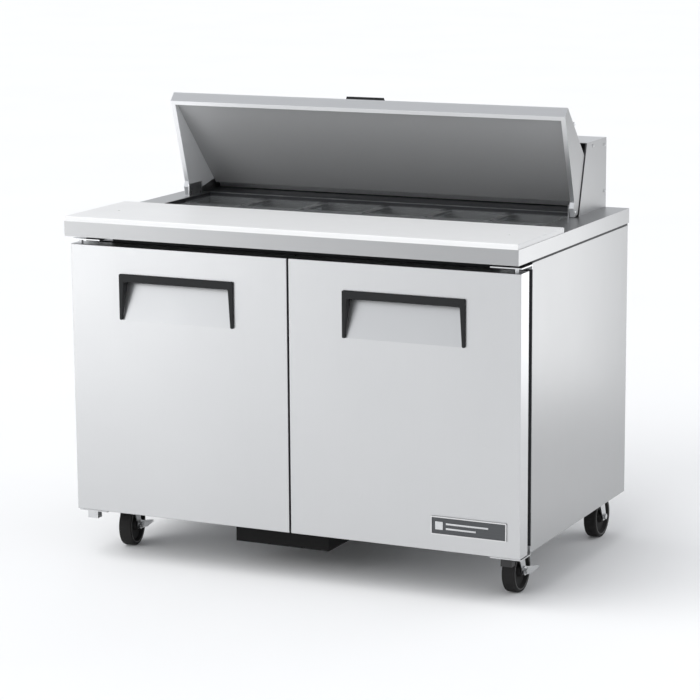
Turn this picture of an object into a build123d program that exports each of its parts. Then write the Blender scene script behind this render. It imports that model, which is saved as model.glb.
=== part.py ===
from build123d import *
from math import cos, hypot, radians, sin
import os

# Refrigerated sandwich prep table, two doors, on four casters. Millimetres, +Z up.
# The origin is on the floor, under the middle of the overall depth and length.
# The doors face -Y, and +X is on the right of a person who stands in front of them.

os.makedirs("parts", exist_ok=True)

# ---- driving dimensions -------------------------------------------------
table_length = 1229.0
table_depth = 766.0
cabinet_height = 750.0
apron_height = 38.0
sheet = 1.2
side_overhang = 3.5
base_recess = 8.0
wall_foam = 40.0
liner_sheet = 1.0
foam_gap = 0.5
shadow_gap = 7.0
side_panel_step = 1.5
worktop_hem = 14.0
frame_joint = 0.2
sill_rise = 2.0
gland_r = 14.0
gland_length = 12.0
gland_edge_r = 3.0
gland_from_side = 110.0
gland_rise = 60.0

door_overhang = 25.0
door_thickness = 52.0
door_top_drop = 60.5
door_side_inset = 3.0
door_gap = 5.0
door_return = 2.0
door_edge_r = 2.0
gasket_thickness = 20.0
gasket_width = 14.0
gasket_inset = 20.0
contact_gap = 0.3
frame_thickness = 12.0
frame_rail = 60.0
mullion_width = 80.0

hinge_inset = 19.0
hinge_depth = 20.0
hinge_pin_r = 5.0
running_gap = 0.05
hinge_bore_depth = 22.0
bracket_plate = 3.0
bracket_rise = 10.0
bracket_clearance = 3.0
bracket_length = 84.0
bracket_lip = 5.0
bracket_flange = 9.0
lug_width = 29.0
lug_height = 18.0
lug_from_end = 27.0

handle_from_edge = 140.0
handle_length = 323.0
handle_drop = 68.5
handle_height = 117.0
handle_bar = 20.0
handle_leg = 14.0
handle_proud = 6.0
pocket_depth = 32.0
pocket_wall = 2.0
pocket_inset = 2.0
pocket_fill = 0.92
handle_edge_r = 3.5
handle_face_r = 2.0
handle_taper = 0.6

board_depth = 299.0
board_thickness = 13.0
board_side_inset = 1.5
board_edge_r = 3.0
board_mark_x = 535.0
board_mark_y = 137.0
board_mark_r = 4.0

pan_columns = 6
pan_rows = 2
pan_length = 176.0
pan_width = 162.0
pan_depth = 100.0
pan_wall = 2.5
pan_flange = 8.0
pan_flange_thickness = 3.0
pan_corner_r = 16.0
pan_spacing = 1.0
pan_recess = 9.0
pan_taper = 3.0
opening_from_front = 308.0
rail_thickness = 4.0
rail_gap = 1.0

top_unit_shift = -9.0
hood_length = 1118.0
hood_height = 181.0
hood_bottom_depth = 197.0
hood_top_depth = 143.0

lid_opening_angle = 72.6
pivot_from_front = 548.0
pivot_height = 16.0
lid_reach = 256.8
lid_front_height = 24.2
lid_front_lean = 14.3
lid_slope = 24.7
lid_thickness = 25.0
lid_lip = 10.8
lid_ridge = 30.0
lid_tail = 32.0
lid_tail_fall = 2.0
lid_end_thickness = 12.0
lid_side_gap = 0.8
lid_pin_r = 4.0
lid_boss = 12.0
lid_boss_drop = 10.0
ear_thickness = 2.5
ear_height = 32.0
ear_back = 60.0
lid_handle_length = 106.0
lid_handle_width = 26.0
lid_handle_proud = 9.0
lid_handle_set_back = 2.0
lid_handle_edge_r = 1.2

shelf_depth = 406.0
shelf_levels = (180.0, 390.0)
shelf_wire = 4.0
shelf_frame_wire = 6.0
shelf_wire_count = 21
shelf_play = 4.0
pilaster_width = 20.0
pilaster_depth = 6.0
pilaster_slot_pitch = 25.0
clip_reach = 14.0
clip_thickness = 3.0
pilaster_side_gap = 1.0
pilaster_front_gap = 4.0
pilaster_top_gap = 40.0
pilaster_bottom_gap = 20.0
pilaster_inset = 50.0

food_depth = 548.0
machine_height = 340.0
evaporator_length = 600.0
evaporator_depth = 70.0
evaporator_height = 130.0
fin_count = 24
coil_air_gap = 12.0
coil_foot = 12.0
tube_inset_y = 20.0
tube_inset_z = 25.0
fin_thickness = 2.0
duct_sheet = 2.0
duct_gap = 2.0
fan_depth_share = 0.3
motor_arm = 10.0
motor_arm_thickness = 4.0
motor_arm_back = 6.0
thermostat_from_end = 60.0
thermostat_width = 50.0
thermostat_height = 60.0
thermostat_depth = 6.0
spindle_r = 4.0
spindle_length = 8.0
knob_grip = 5.0
fan_duct_depth = 60.0
evaporator_fan_r = 62.0
fan_tip_gap = 6.0
fan_hub_r = 16.0
fan_thickness = 12.0
fan_bore_r = 3.0
fan_blades = 4
blade_share = 0.55
blade_overlap = 4.0
fan_motor_gap = 3.0
motor_r = 26.0
motor_length = 30.0
knob_r = 16.0
knob_depth = 14.0
compressor_r = 75.0
compressor_height = 170.0
compressor_x = -260.0
condenser_thickness = 45.0
condenser_x = 110.0
condenser_height = 200.0
condenser_fan_r = 72.0
condenser_width = 150.0
condenser_rows = 16
condenser_lift = 8.0
condenser_tube_pitch = 50.0
shroud_thickness = 3.0
shroud_gap = 4.0
fan_motor_reach = 40.0
motor_post = 24.0
compressor_foot = 95.0
compressor_plate = 4.0
compressor_dome_r = 30.0
relay_box = 56.0
relay_depth = 18.0
relay_bottom = 50.0
relay_top = 120.0
suction_x = 40.0
suction_from = 120.0
suction_height = 240.0
suction_bend_r = 20.0
line_r = 5.0

tray_left = -197.0
tray_width = 261.0
tray_drop = 70.0
tray_from_front = 112.0
tray_wall = 2.0
tray_flange = 88.0
tray_flange_drop = 24.0
tray_flange_thickness = 6.0
tray_from_back = 40.0
grille_slot_length = 160.0
grille_slot_height = 8.0
grille_pitch_x = 190.0
grille_pitch_z = 22.0
grille_rows = 12
grille_columns = 5

wheel_r = 55.0
tread_width = 34.0
wheel_trail = 34.0
wheel_top_gap = 17.0
axle_r = 5.0
caster_inset_x = 75.5
front_caster_from_front = 150.0
rear_caster_from_back = 45.0
front_left_heading = 9.0
plate_thickness = 3.0
raceway_r = 26.0
raceway_height = 7.0
kingpin_r = 6.0
fork_plate = 3.0
fork_wheel_gap = 2.0
fork_crown_r = 24.0
bolt_head_r = 8.0
bolt_head_height = 5.0
lever_thickness = 3.0
lever_reach = 90.0
lever_drop = 15.0
lever_eye_r = 12.0
pedal_width = 26.0
pedal_length = 24.0
pedal_rise = 6.0
lever_tip = 5.0
lever_belly = 3.0
lever_share = 0.9
fork_share = 0.7
fork_drop = 0.8
wheel_rim_band = 9.0
wheel_web_share = 0.22
wheel_hub_r = 15.0
wheel_shoulder = 4.0
wheel_step = 1.0
hub_rise = 3.0
caster_plate_x = 60.0
caster_plate_y = 80.0

badge_length = 197.0
badge_height = 46.0
badge_thickness = 3.0
badge_from_hinge_side = 33.0
badge_from_bottom = 40.0
badge_rim = 3.0
badge_corner_r = 3.0

# ---- places worked out from them ----------------------------------------
overall_depth = table_depth - rear_caster_from_back + wheel_trail + wheel_r
caster_height = 2 * wheel_r + wheel_top_gap
y_front = -overall_depth / 2
y_back = y_front + table_depth
z_top = caster_height + cabinet_height
z_bottom = caster_height
x_end = table_length / 2
x_side = x_end - side_overhang
z_apron = z_top - apron_height
z_base = z_bottom + base_recess

door_front = y_front + door_overhang
door_back = door_front + door_thickness
door_top = z_top - door_top_drop
door_bottom = z_bottom
door_outer = x_end - door_side_inset
frame_front = door_back + gasket_thickness + contact_gap
frame_back = frame_front + frame_thickness
hinge_x = door_outer - hinge_inset
hinge_y = door_front + hinge_depth

pan_pitch_x = pan_length + pan_spacing
pan_pitch_y = pan_width + pan_spacing
opening_half = pan_columns * pan_pitch_x / 2 + pan_spacing
opening_front = y_front + opening_from_front
opening_back = opening_front + pan_rows * pan_pitch_y + pan_spacing
pan_rest = z_top - pan_recess - pan_flange_thickness

liner_x = x_side - sheet - wall_foam
foam_top = z_top - sheet
liner_floor = z_base + sheet + wall_foam
food_back = y_front + food_depth
machine_top = z_base + sheet + machine_height
cold_shelf = machine_top + wall_foam
cold_back = y_back - 2 * sheet - wall_foam

hood_half = hood_length / 2
lid_half = hood_half - sheet - lid_side_gap
lid_inner_half = lid_half - lid_end_thickness
ear_outer = lid_inner_half - lid_side_gap
ear_inner = ear_outer - ear_thickness
pivot_y = y_front + pivot_from_front
pivot_z = z_top + pivot_height

wheel_z = wheel_r
front_caster_y = y_front + front_caster_from_front
rear_caster_y = y_back - rear_caster_from_back
caster_x = x_end - caster_inset_x
fork_inner = tread_width / 2 + fork_wheel_gap
fork_outer = fork_inner + fork_plate
raceway_bottom = z_base - plate_thickness - raceway_height
crown_top = raceway_bottom - contact_gap


def save(piece, name, shift=0.0):
    """Move a finished piece along X, label it and write it to its own file."""
    shape = piece.part.moved(Location((shift, 0, 0)))
    shape.label = name
    export_step(shape, f"parts/{name}.step")


def block(x0, x1, y0, y1, z0, z1, mode=Mode.ADD):
    """A box between two corners, in the part that is being built."""
    with Locations(((x0 + x1) / 2, (y0 + y1) / 2, (z0 + z1) / 2)):
        Box(abs(x1 - x0), abs(y1 - y0), abs(z1 - z0), mode=mode)


def strip(a, b, thickness):
    """A flat strip of sheet from a to b in a sketch, with its thickness on the right of a-b."""
    length = hypot(b[0] - a[0], b[1] - a[1])
    nx = (b[1] - a[1]) / length * thickness
    ny = -(b[0] - a[0]) / length * thickness
    Polygon(a, b, (b[0] + nx, b[1] + ny), (a[0] + nx, a[1] + ny), align=None)


# ---- cabinet: outer panels ----------------------------------------------
panel_top = z_apron - shadow_gap
side_front = frame_front + side_panel_step
with BuildPart() as side_panels:
    for side in (-1, 1):
        block(side * (x_side - sheet), side * x_side, side_front, y_back - sheet, z_bottom, panel_top)
        block(
            side * (x_side - wall_foam / 2),
            side * (x_side - sheet),
            y_back - 2 * sheet,
            y_back - sheet,
            z_bottom,
            panel_top,
        )
save(side_panels, "side_panels")

gland_x = x_side - gland_from_side
gland_z = machine_top + gland_rise
with BuildPart() as back_panel:
    block(-x_side, x_side, y_back - sheet, y_back, machine_top + sheet, panel_top)
    with BuildSketch(Plane.XZ.offset(-y_back)):
        with Locations((gland_x, gland_z)):
            Circle(gland_r)
    extrude(amount=-gland_length)
    fillet(back_panel.edges().filter_by(GeomType.CIRCLE).group_by(Axis.Y)[-1], gland_edge_r)
save(back_panel, "back_panel")

with BuildPart() as rear_grille:
    block(-x_side, x_side, y_back - sheet, y_back, z_bottom, machine_top)
    with BuildSketch(Plane.XZ.offset(-y_back + sheet)):
        with Locations((0, (z_bottom + machine_top) / 2)):
            with GridLocations(grille_pitch_x, grille_pitch_z, grille_columns, grille_rows):
                SlotOverall(grille_slot_length, grille_slot_height)
    extrude(amount=-sheet, mode=Mode.SUBTRACT)
save(rear_grille, "rear_grille")

with BuildPart() as base_panel:
    block(
        -(x_side - sheet),
        x_side - sheet,
        frame_back,
        y_back - 2 * sheet,
        z_base,
        z_base + sheet,
    )
save(base_panel, "base_panel")

# ---- cabinet: insulation and liner --------------------------------------
foam_side = x_side - sheet
foam_front = frame_back
under_top = z_apron - foam_gap
with BuildPart() as insulation:
    block(-foam_side, foam_side, foam_front, food_back + wall_foam, z_base + sheet, liner_floor)
    for side in (-1, 1):
        block(
            side * liner_x,
            side * foam_side,
            foam_front,
            y_back - 2 * sheet - foam_gap,
            cold_shelf + foam_gap,
            under_top,
        )
        block(
            side * liner_x,
            side * foam_side,
            foam_front,
            food_back + wall_foam,
            liner_floor + foam_gap,
            cold_shelf,
        )
    block(
        -(liner_x - foam_gap),
        liner_x - foam_gap,
        food_back,
        food_back + wall_foam,
        liner_floor + foam_gap,
        cold_shelf,
    )
    block(
        -foam_side,
        foam_side,
        food_back + wall_foam + foam_gap,
        y_back - 2 * sheet - foam_gap,
        machine_top,
        cold_shelf,
    )
    block(
        -(liner_x - foam_gap),
        liner_x - foam_gap,
        cold_back,
        y_back - 2 * sheet - foam_gap,
        cold_shelf + foam_gap,
        under_top,
    )
    block(
        -foam_side,
        foam_side,
        y_front + 2 * sheet,
        opening_front - 3 * sheet,
        z_apron + sheet + foam_gap,
        foam_top - foam_gap,
    )
    block(
        -foam_side,
        foam_side,
        opening_back + 3 * sheet,
        y_back - 2 * sheet,
        z_apron + sheet + foam_gap,
        foam_top - foam_gap,
    )
    for side in (-1, 1):
        block(
            side * (opening_half + 3 * sheet) + top_unit_shift,
            side * foam_side,
            opening_front,
            opening_back,
            z_apron + sheet + foam_gap,
            foam_top - foam_gap,
        )
save(insulation, "insulation")

liner_in = liner_x - foam_gap
with BuildPart() as liner:
    block(
        -liner_in,
        liner_in,
        foam_front,
        food_back - foam_gap,
        liner_floor + foam_gap,
        liner_floor + foam_gap + liner_sheet,
    )
    liner_wall_bottom = liner_floor + 2 * foam_gap + liner_sheet
    for side in (-1, 1):
        block(
            side * (liner_in - liner_sheet),
            side * liner_in,
            foam_front,
            food_back - foam_gap,
            liner_wall_bottom,
            under_top,
        )
        block(
            side * (liner_in - liner_sheet),
            side * liner_in,
            food_back,
            cold_back - foam_gap,
            cold_shelf + 2 * foam_gap + liner_sheet,
            under_top,
        )
    liner_cross = liner_in - liner_sheet - foam_gap
    block(
        -liner_cross,
        liner_cross,
        food_back - foam_gap - liner_sheet,
        food_back - foam_gap,
        liner_wall_bottom,
        cold_shelf,
    )
    block(
        -liner_cross,
        liner_cross,
        food_back - foam_gap - liner_sheet,
        cold_back - foam_gap,
        cold_shelf + foam_gap,
        cold_shelf + foam_gap + liner_sheet,
    )
    block(
        -liner_cross,
        liner_cross,
        cold_back - foam_gap - liner_sheet,
        cold_back - foam_gap,
        cold_shelf + 2 * foam_gap + liner_sheet,
        under_top,
    )
save(liner, "liner")

# ---- front frame: rails, stiles and mullion around the two door openings --
frame_x = x_side - sheet - running_gap
rail_bottom = liner_floor + sill_rise
rail_top = z_apron - frame_rail
stile_inner = liner_x - liner_sheet - foam_gap
with BuildPart() as front_frame:
    block(-frame_x, frame_x, frame_front, frame_back, rail_top, z_apron)
    block(-frame_x, frame_x, frame_front, frame_back, z_bottom, rail_bottom)
    for side in (-1, 1):
        block(
            side * stile_inner,
            side * frame_x,
            frame_front,
            frame_back,
            rail_bottom + frame_joint,
            rail_top - frame_joint,
        )
    block(
        -mullion_width / 2,
        mullion_width / 2,
        frame_front,
        frame_back + pilaster_width,
        rail_bottom + frame_joint,
        rail_top - frame_joint,
    )
save(front_frame, "front_frame")

# ---- worktop ------------------------------------------------------------
with BuildPart() as worktop:
    block(-x_end, x_end, y_front, y_back, z_apron, z_top)
    block(
        -x_end + sheet,
        x_end - sheet,
        y_front + sheet,
        y_back - sheet,
        z_apron + sheet,
        z_top - sheet,
        Mode.SUBTRACT,
    )
    block(
        -x_end + worktop_hem,
        x_end - worktop_hem,
        y_front + worktop_hem,
        y_back - worktop_hem,
        z_apron,
        z_apron + sheet,
        Mode.SUBTRACT,
    )
    block(
        -opening_half + top_unit_shift,
        opening_half + top_unit_shift,
        opening_front,
        opening_back,
        z_top - sheet,
        z_top,
        Mode.SUBTRACT,
    )
    fillet(worktop.edges().filter_by(Axis.Z).group_by(SortBy.LENGTH)[-1], sheet * 0.6)
save(worktop, "worktop")

# ---- divider bars and ledges that carry the pans --------------------------
body_length = pan_length - 2 * pan_flange
body_width = pan_width - 2 * pan_flange
bar_x = pan_pitch_x - body_length - 2 * rail_gap
bar_y = pan_pitch_y - body_width - 2 * rail_gap
ledge_x0 = opening_half
ledge_x1 = opening_half - pan_spacing - pan_flange + rail_gap
ledge_y_front = opening_front + pan_spacing + pan_flange - rail_gap
ledge_y_back = opening_back - pan_spacing - pan_flange + rail_gap
pan_mid_y = (opening_front + opening_back) / 2
with BuildPart() as pan_rails:
    for y0, y1, wall in (
        (opening_front, ledge_y_front, opening_front),
        (opening_back, ledge_y_back, opening_back),
    ):
        outward = -1 if y1 > y0 else 1
        block(-ledge_x0, ledge_x0, y0, y1, pan_rest - rail_thickness, pan_rest)
        block(
            -ledge_x0 - sheet,
            ledge_x0 + sheet,
            wall,
            wall + outward * sheet,
            pan_rest - rail_thickness,
            z_top - sheet,
        )
    for side in (-1, 1):
        block(
            side * ledge_x0,
            side * ledge_x1,
            ledge_y_front + running_gap,
            ledge_y_back - running_gap,
            pan_rest - rail_thickness,
            pan_rest,
        )
        block(
            side * ledge_x0,
            side * (ledge_x0 + sheet),
            opening_front,
            opening_back,
            pan_rest - rail_thickness,
            z_top - sheet,
        )
    block(
        -ledge_x1 + running_gap,
        ledge_x1 - running_gap,
        pan_mid_y - bar_y / 2,
        pan_mid_y + bar_y / 2,
        pan_rest - rail_thickness,
        pan_rest,
    )
    for column in range(1, pan_columns):
        bar_mid = (column - pan_columns / 2) * pan_pitch_x
        for y0, y1 in (
            (ledge_y_front, pan_mid_y - bar_y / 2),
            (pan_mid_y + bar_y / 2, ledge_y_back),
        ):
            block(
                bar_mid - bar_x / 2,
                bar_mid + bar_x / 2,
                y0 + running_gap,
                y1 - running_gap,
                pan_rest - rail_thickness,
                pan_rest,
            )
save(pan_rails, "pan_rails", top_unit_shift)


# ---- food pans ------------------------------------------------------------
def pan(name, x, y):
    """One clear food pan that hangs by its flange."""
    flange_plane = Plane.XY.offset(pan_rest)
    with BuildPart() as tub:
        with BuildSketch(flange_plane):
            with Locations((x, y)):
                RectangleRounded(pan_length, pan_width, pan_corner_r + pan_flange)
        extrude(amount=pan_flange_thickness)
        with BuildSketch(flange_plane):
            with Locations((x, y)):
                RectangleRounded(body_length, body_width, pan_corner_r)
        extrude(amount=-(pan_depth - pan_flange_thickness), taper=pan_taper)
        with BuildSketch(flange_plane.offset(pan_flange_thickness)):
            with Locations((x, y)):
                RectangleRounded(
                    body_length - 2 * pan_wall,
                    body_width - 2 * pan_wall,
                    pan_corner_r - pan_wall,
                )
        extrude(amount=-(pan_depth - pan_wall), taper=pan_taper, mode=Mode.SUBTRACT)
    save(tub, name, top_unit_shift)


for row, row_name in enumerate(("front", "rear")):
    for column in range(pan_columns):
        pan(
            f"{row_name}_pan_{column + 1}",
            (column - (pan_columns - 1) / 2) * pan_pitch_x,
            pan_mid_y + (row - (pan_rows - 1) / 2) * pan_pitch_y,
        )

# ---- cutting board --------------------------------------------------------
board_half = x_end - board_side_inset
with BuildPart() as cutting_board:
    block(-board_half, board_half, y_front, y_front + board_depth, z_top, z_top + board_thickness)
    fillet(cutting_board.edges().group_by(Axis.Z)[-1], board_edge_r)
    with BuildSketch(Plane.XY.offset(z_top + board_thickness)):
        with Locations((-board_mark_x, y_front + board_mark_y), (board_mark_x, y_front + board_mark_y)):
            Circle(board_mark_r)
    extrude(amount=-board_thickness / 4, mode=Mode.SUBTRACT)
save(cutting_board, "cutting_board")

# ---- hood -------------------------------------------------------------------
hood_front_low = y_back - hood_bottom_depth
hood_front_high = y_back - hood_top_depth
hood_profile = (
    (hood_front_low, z_top),
    (y_back, z_top),
    (y_back, z_top + hood_height),
    (hood_front_high, z_top + hood_height),
)
with BuildPart() as hood:
    with BuildSketch(Plane.YZ.offset(-hood_half)):
        Polygon(*hood_profile, align=None)
    extrude(amount=hood_length)
    block(
        -hood_half + sheet,
        hood_half - sheet,
        hood_front_low - sheet,
        y_back - sheet,
        z_top,
        z_top + hood_height - sheet,
        Mode.SUBTRACT,
    )
save(hood, "hood", top_unit_shift)

# ---- hinge brackets: two ears for the lid, two pairs for the doors ----------
ear_front = pivot_y - lid_boss
ear_end = pivot_y + ear_back
upper_plate = door_top + bracket_rise
lower_plate = door_bottom - bracket_clearance
bracket_end = x_end - bracket_length
with BuildPart() as hinge_brackets:
    for side in (-1, 1):
        with BuildSketch(Plane.YZ.offset(side * ear_inner + top_unit_shift)):
            Polygon(
                (ear_front, z_top),
                (ear_end, z_top),
                (ear_end, z_top + ear_height),
                (ear_front, z_top + ear_height),
                align=None,
            )
        extrude(amount=side * ear_thickness)
        with BuildSketch(Plane.YZ.offset(side * ear_inner + top_unit_shift)):
            with Locations((pivot_y, pivot_z)):
                Circle(lid_pin_r)
        extrude(amount=side * (ear_thickness + lid_side_gap + lid_end_thickness - contact_gap))
        block(
            side * bracket_end,
            side * door_outer,
            hinge_y - hinge_depth / 2 - bracket_lip,
            frame_front,
            upper_plate,
            upper_plate + bracket_plate,
        )
        block(
            side * bracket_end,
            side * door_outer,
            frame_front - bracket_plate,
            frame_front,
            upper_plate - bracket_flange,
            upper_plate,
        )
        with BuildSketch(Plane.XY.offset(upper_plate)):
            with Locations((side * hinge_x, hinge_y)):
                Circle(hinge_pin_r)
        extrude(amount=-(upper_plate - door_top) - hinge_bore_depth + contact_gap)
        block(
            side * bracket_end,
            side * door_outer,
            hinge_y - hinge_depth / 2,
            frame_front,
            lower_plate - bracket_plate,
            lower_plate,
        )
        block(
            side * bracket_end,
            side * door_outer,
            frame_front - bracket_plate,
            frame_front,
            lower_plate,
            door_bottom + gasket_inset - bracket_plate,
        )
        block(
            side * (x_end - lug_from_end - lug_width),
            side * (x_end - lug_from_end),
            hinge_y - hinge_depth / 2,
            hinge_y + hinge_depth / 2,
            lower_plate - bracket_plate - lug_height,
            lower_plate - bracket_plate,
        )
        with BuildSketch(Plane.XY.offset(lower_plate)):
            with Locations((side * hinge_x, hinge_y)):
                Circle(hinge_pin_r)
        extrude(amount=door_bottom - lower_plate + hinge_bore_depth - contact_gap)
save(hinge_brackets, "hinge_brackets")


# ---- doors --------------------------------------------------------------------
pocket_top = door_top - handle_drop - pocket_inset
pocket_bottom = door_top - handle_drop - handle_height
pocket_profile = (
    (door_front, pocket_bottom),
    (door_front + pocket_depth, pocket_top),
    (door_front, pocket_top),
)
form_profile = (
    (door_front, pocket_bottom - 2 * sheet),
    (door_front + pocket_depth + sheet, pocket_top - sheet),
    (door_front + pocket_depth + sheet, pocket_top + sheet),
    (door_front, pocket_top + sheet),
)
bezel_top = door_top - handle_drop


def door(name, side):
    """One door, hinged at its outer edge: skin, foamed inner panel, gasket and handle."""
    outer = side * door_outer
    inner = side * door_gap / 2
    handle_outer = outer - side * handle_from_edge
    handle_inner = handle_outer - side * handle_length
    pocket_outer = handle_outer - side * handle_leg / 2
    pocket_inner = handle_inner + side * handle_leg / 2
    pocket_low = min(pocket_outer, pocket_inner)
    pocket_span = abs(pocket_outer - pocket_inner)

    with BuildPart() as skin:
        block(outer, inner, door_front, door_back - door_return, door_bottom, door_top)
        fillet(skin.edges().group_by(Axis.Y)[0], door_edge_r)
        block(
            outer - side * sheet,
            inner + side * sheet,
            door_front + sheet,
            door_back - door_return,
            door_bottom + sheet,
            door_top - sheet,
            Mode.SUBTRACT,
        )
        with BuildSketch(Plane.YZ.offset(pocket_low - sheet)):
            Polygon(*form_profile, align=None)
        extrude(amount=pocket_span + 2 * sheet)
        with BuildSketch(Plane.YZ.offset(pocket_low)):
            Polygon(*pocket_profile, align=None)
        extrude(amount=pocket_span, mode=Mode.SUBTRACT)
        with Locations((side * hinge_x, hinge_y, (door_top + door_bottom) / 2)):
            Cylinder(hinge_pin_r + running_gap, door_top - door_bottom + sheet, mode=Mode.SUBTRACT)
    save(skin, f"{name}_door_skin")

    with BuildPart() as panel:
        block(
            outer - side * sheet,
            inner + side * sheet,
            door_front + sheet,
            door_back - door_return,
            door_bottom + sheet,
            door_top - sheet,
        )
        block(
            outer - side * gasket_inset / 2,
            inner + side * gasket_inset / 2,
            door_back - door_return,
            door_back,
            door_bottom + gasket_inset / 2,
            door_top - gasket_inset / 2,
        )
        with BuildSketch(Plane.YZ.offset(pocket_low - sheet)):
            Polygon(*form_profile, align=None)
        extrude(amount=pocket_span + 2 * sheet, mode=Mode.SUBTRACT)
        for level, direction in ((door_top, -1), (door_bottom, 1)):
            with BuildSketch(Plane.XY.offset(level)):
                with Locations((side * hinge_x, hinge_y)):
                    Circle(hinge_pin_r + running_gap)
            extrude(amount=direction * hinge_bore_depth, mode=Mode.SUBTRACT)
    save(panel, f"{name}_door_inner_panel")

    gasket_mid_x = (outer + inner) / 2
    gasket_mid_z = (door_top + door_bottom) / 2
    gasket_length = abs(outer - inner) - 2 * gasket_inset
    gasket_height = door_top - door_bottom - 2 * gasket_inset
    with BuildPart() as gasket:
        with BuildSketch(Plane.XZ.offset(-door_back)):
            with Locations((gasket_mid_x, gasket_mid_z)):
                Rectangle(gasket_length, gasket_height)
                Rectangle(
                    gasket_length - 2 * gasket_width,
                    gasket_height - 2 * gasket_width,
                    mode=Mode.SUBTRACT,
                )
        extrude(amount=-gasket_thickness)
    save(gasket, f"{name}_door_gasket")

    handle_low = min(handle_outer, handle_inner)
    handle_high = handle_low + handle_length
    leg_tip = handle_leg * handle_taper
    with BuildPart() as handle:
        with BuildSketch(Plane.XZ.offset(-door_front)):
            Polygon(
                (handle_low, bezel_top),
                (handle_high, bezel_top),
                (handle_high, pocket_bottom),
                (handle_high - leg_tip, pocket_bottom),
                (handle_high - handle_leg, bezel_top - handle_bar),
                (handle_low + handle_leg, bezel_top - handle_bar),
                (handle_low + leg_tip, pocket_bottom),
                (handle_low, pocket_bottom),
                align=None,
            )
        extrude(amount=handle_proud)
        fillet(handle.edges().filter_by(Axis.Y), handle_edge_r)
        fillet(handle.faces().sort_by(Axis.Y)[0].edges(), handle_face_r)
        for wall in (pocket_low, pocket_low + pocket_span - pocket_wall):
            with BuildSketch(Plane.YZ.offset(wall)):
                Polygon(
                    (door_front, pocket_bottom + handle_leg),
                    (door_front + pocket_depth * pocket_fill, pocket_top - handle_leg * (1 - handle_taper)),
                    (door_front + pocket_depth * pocket_fill, pocket_top),
                    (door_front, pocket_top),
                    align=None,
                )
                Polygon(*pocket_profile, align=None, mode=Mode.INTERSECT)
            extrude(amount=pocket_wall)
    save(handle, f"{name}_door_handle")


door("left", -1)
door("right", 1)

badge_right = door_outer - badge_from_hinge_side
badge_low = door_bottom + badge_from_bottom
with BuildPart() as badge:
    with BuildSketch(Plane.XZ.offset(-door_front)):
        with Locations((badge_right - badge_length / 2, badge_low + badge_height / 2)):
            RectangleRounded(badge_length, badge_height, badge_corner_r)
    extrude(amount=badge_thickness)
    with BuildSketch(Plane.XZ.offset(-door_front + badge_thickness)):
        with Locations((badge_right - badge_length / 2, badge_low + badge_height / 2)):
            RectangleRounded(badge_length - 2 * badge_rim, badge_height - 2 * badge_rim, badge_corner_r / 2)
    extrude(amount=-badge_thickness / 2, mode=Mode.SUBTRACT)
save(badge, "badge")

# ---- lid, drawn closed about its pivot and placed at its open angle -----------
open_angle = radians(lid_opening_angle)
slope = radians(lid_slope)
rise = sin(slope) / cos(slope)
lid_nose = (-lid_reach - lid_front_lean, lid_front_height)
lid_ridge_point = (lid_ridge, lid_front_height + (lid_ridge - lid_nose[0]) * rise)
lid_tail_point = (lid_ridge + lid_tail, lid_ridge_point[1] - lid_tail_fall)
lid_lip_point = (-lid_reach + lid_lip, 0.0)
lid_outline = ((-lid_reach, 0.0), lid_nose, lid_ridge_point)
inner_ridge = (
    lid_ridge_point[0] + lid_thickness * sin(slope),
    lid_ridge_point[1] - lid_thickness * cos(slope),
)
inner_front = (
    lid_lip_point[0],
    inner_ridge[1] - (inner_ridge[0] - lid_lip_point[0]) * rise,
)


def lid_plane(x):
    """The plane of the lid's cross-section at x, turned to the open angle about the pivot."""
    return Plane(
        origin=(x, pivot_y, pivot_z),
        x_dir=(0, cos(open_angle), -sin(open_angle)),
        z_dir=(1, 0, 0),
    )


with BuildPart() as lid_skin:
    with BuildSketch(lid_plane(-lid_inner_half)):
        strip(lid_lip_point, lid_outline[0], sheet)
        strip(lid_outline[0], lid_nose, sheet)
        strip(lid_nose, lid_ridge_point, sheet)
        strip(lid_ridge_point, lid_tail_point, sheet)
    extrude(amount=2 * lid_inner_half)
    for end in (-lid_half, lid_inner_half):
        with BuildSketch(lid_plane(end)):
            Polygon(
                lid_outline[0],
                lid_nose,
                lid_ridge_point,
                (lid_boss, -lid_boss_drop),
                (-lid_boss, -lid_boss_drop),
                (-2 * lid_boss, 0.0),
                align=None,
            )
            Circle(lid_pin_r + running_gap, mode=Mode.SUBTRACT)
        extrude(amount=lid_end_thickness)
save(lid_skin, "lid_skin", top_unit_shift)

with BuildPart() as lid_liner:
    with BuildSketch(lid_plane(-lid_inner_half)):
        Polygon(
            lid_lip_point,
            lid_outline[0],
            lid_nose,
            lid_ridge_point,
            inner_ridge,
            inner_front,
            align=None,
        )
    extrude(amount=2 * lid_inner_half)
    with BuildSketch(lid_plane(-lid_half), mode=Mode.PRIVATE) as skin_section:
        strip(lid_lip_point, lid_outline[0], sheet)
        strip(lid_outline[0], lid_nose, sheet)
        strip(lid_nose, lid_ridge_point, sheet)
        strip(lid_ridge_point, lid_tail_point, sheet)
    extrude(skin_section.sketch, amount=2 * lid_half, mode=Mode.SUBTRACT)
save(lid_liner, "lid_liner", top_unit_shift)

along = (cos(slope), sin(slope))
normal = (-sin(slope), cos(slope))


def on_lid(distance, height):
    """A point on the lid's top panel: so far behind the front edge, so far above the panel."""
    return (
        lid_nose[0] + along[0] * distance + normal[0] * height,
        lid_nose[1] + along[1] * distance + normal[1] * height,
    )


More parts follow.
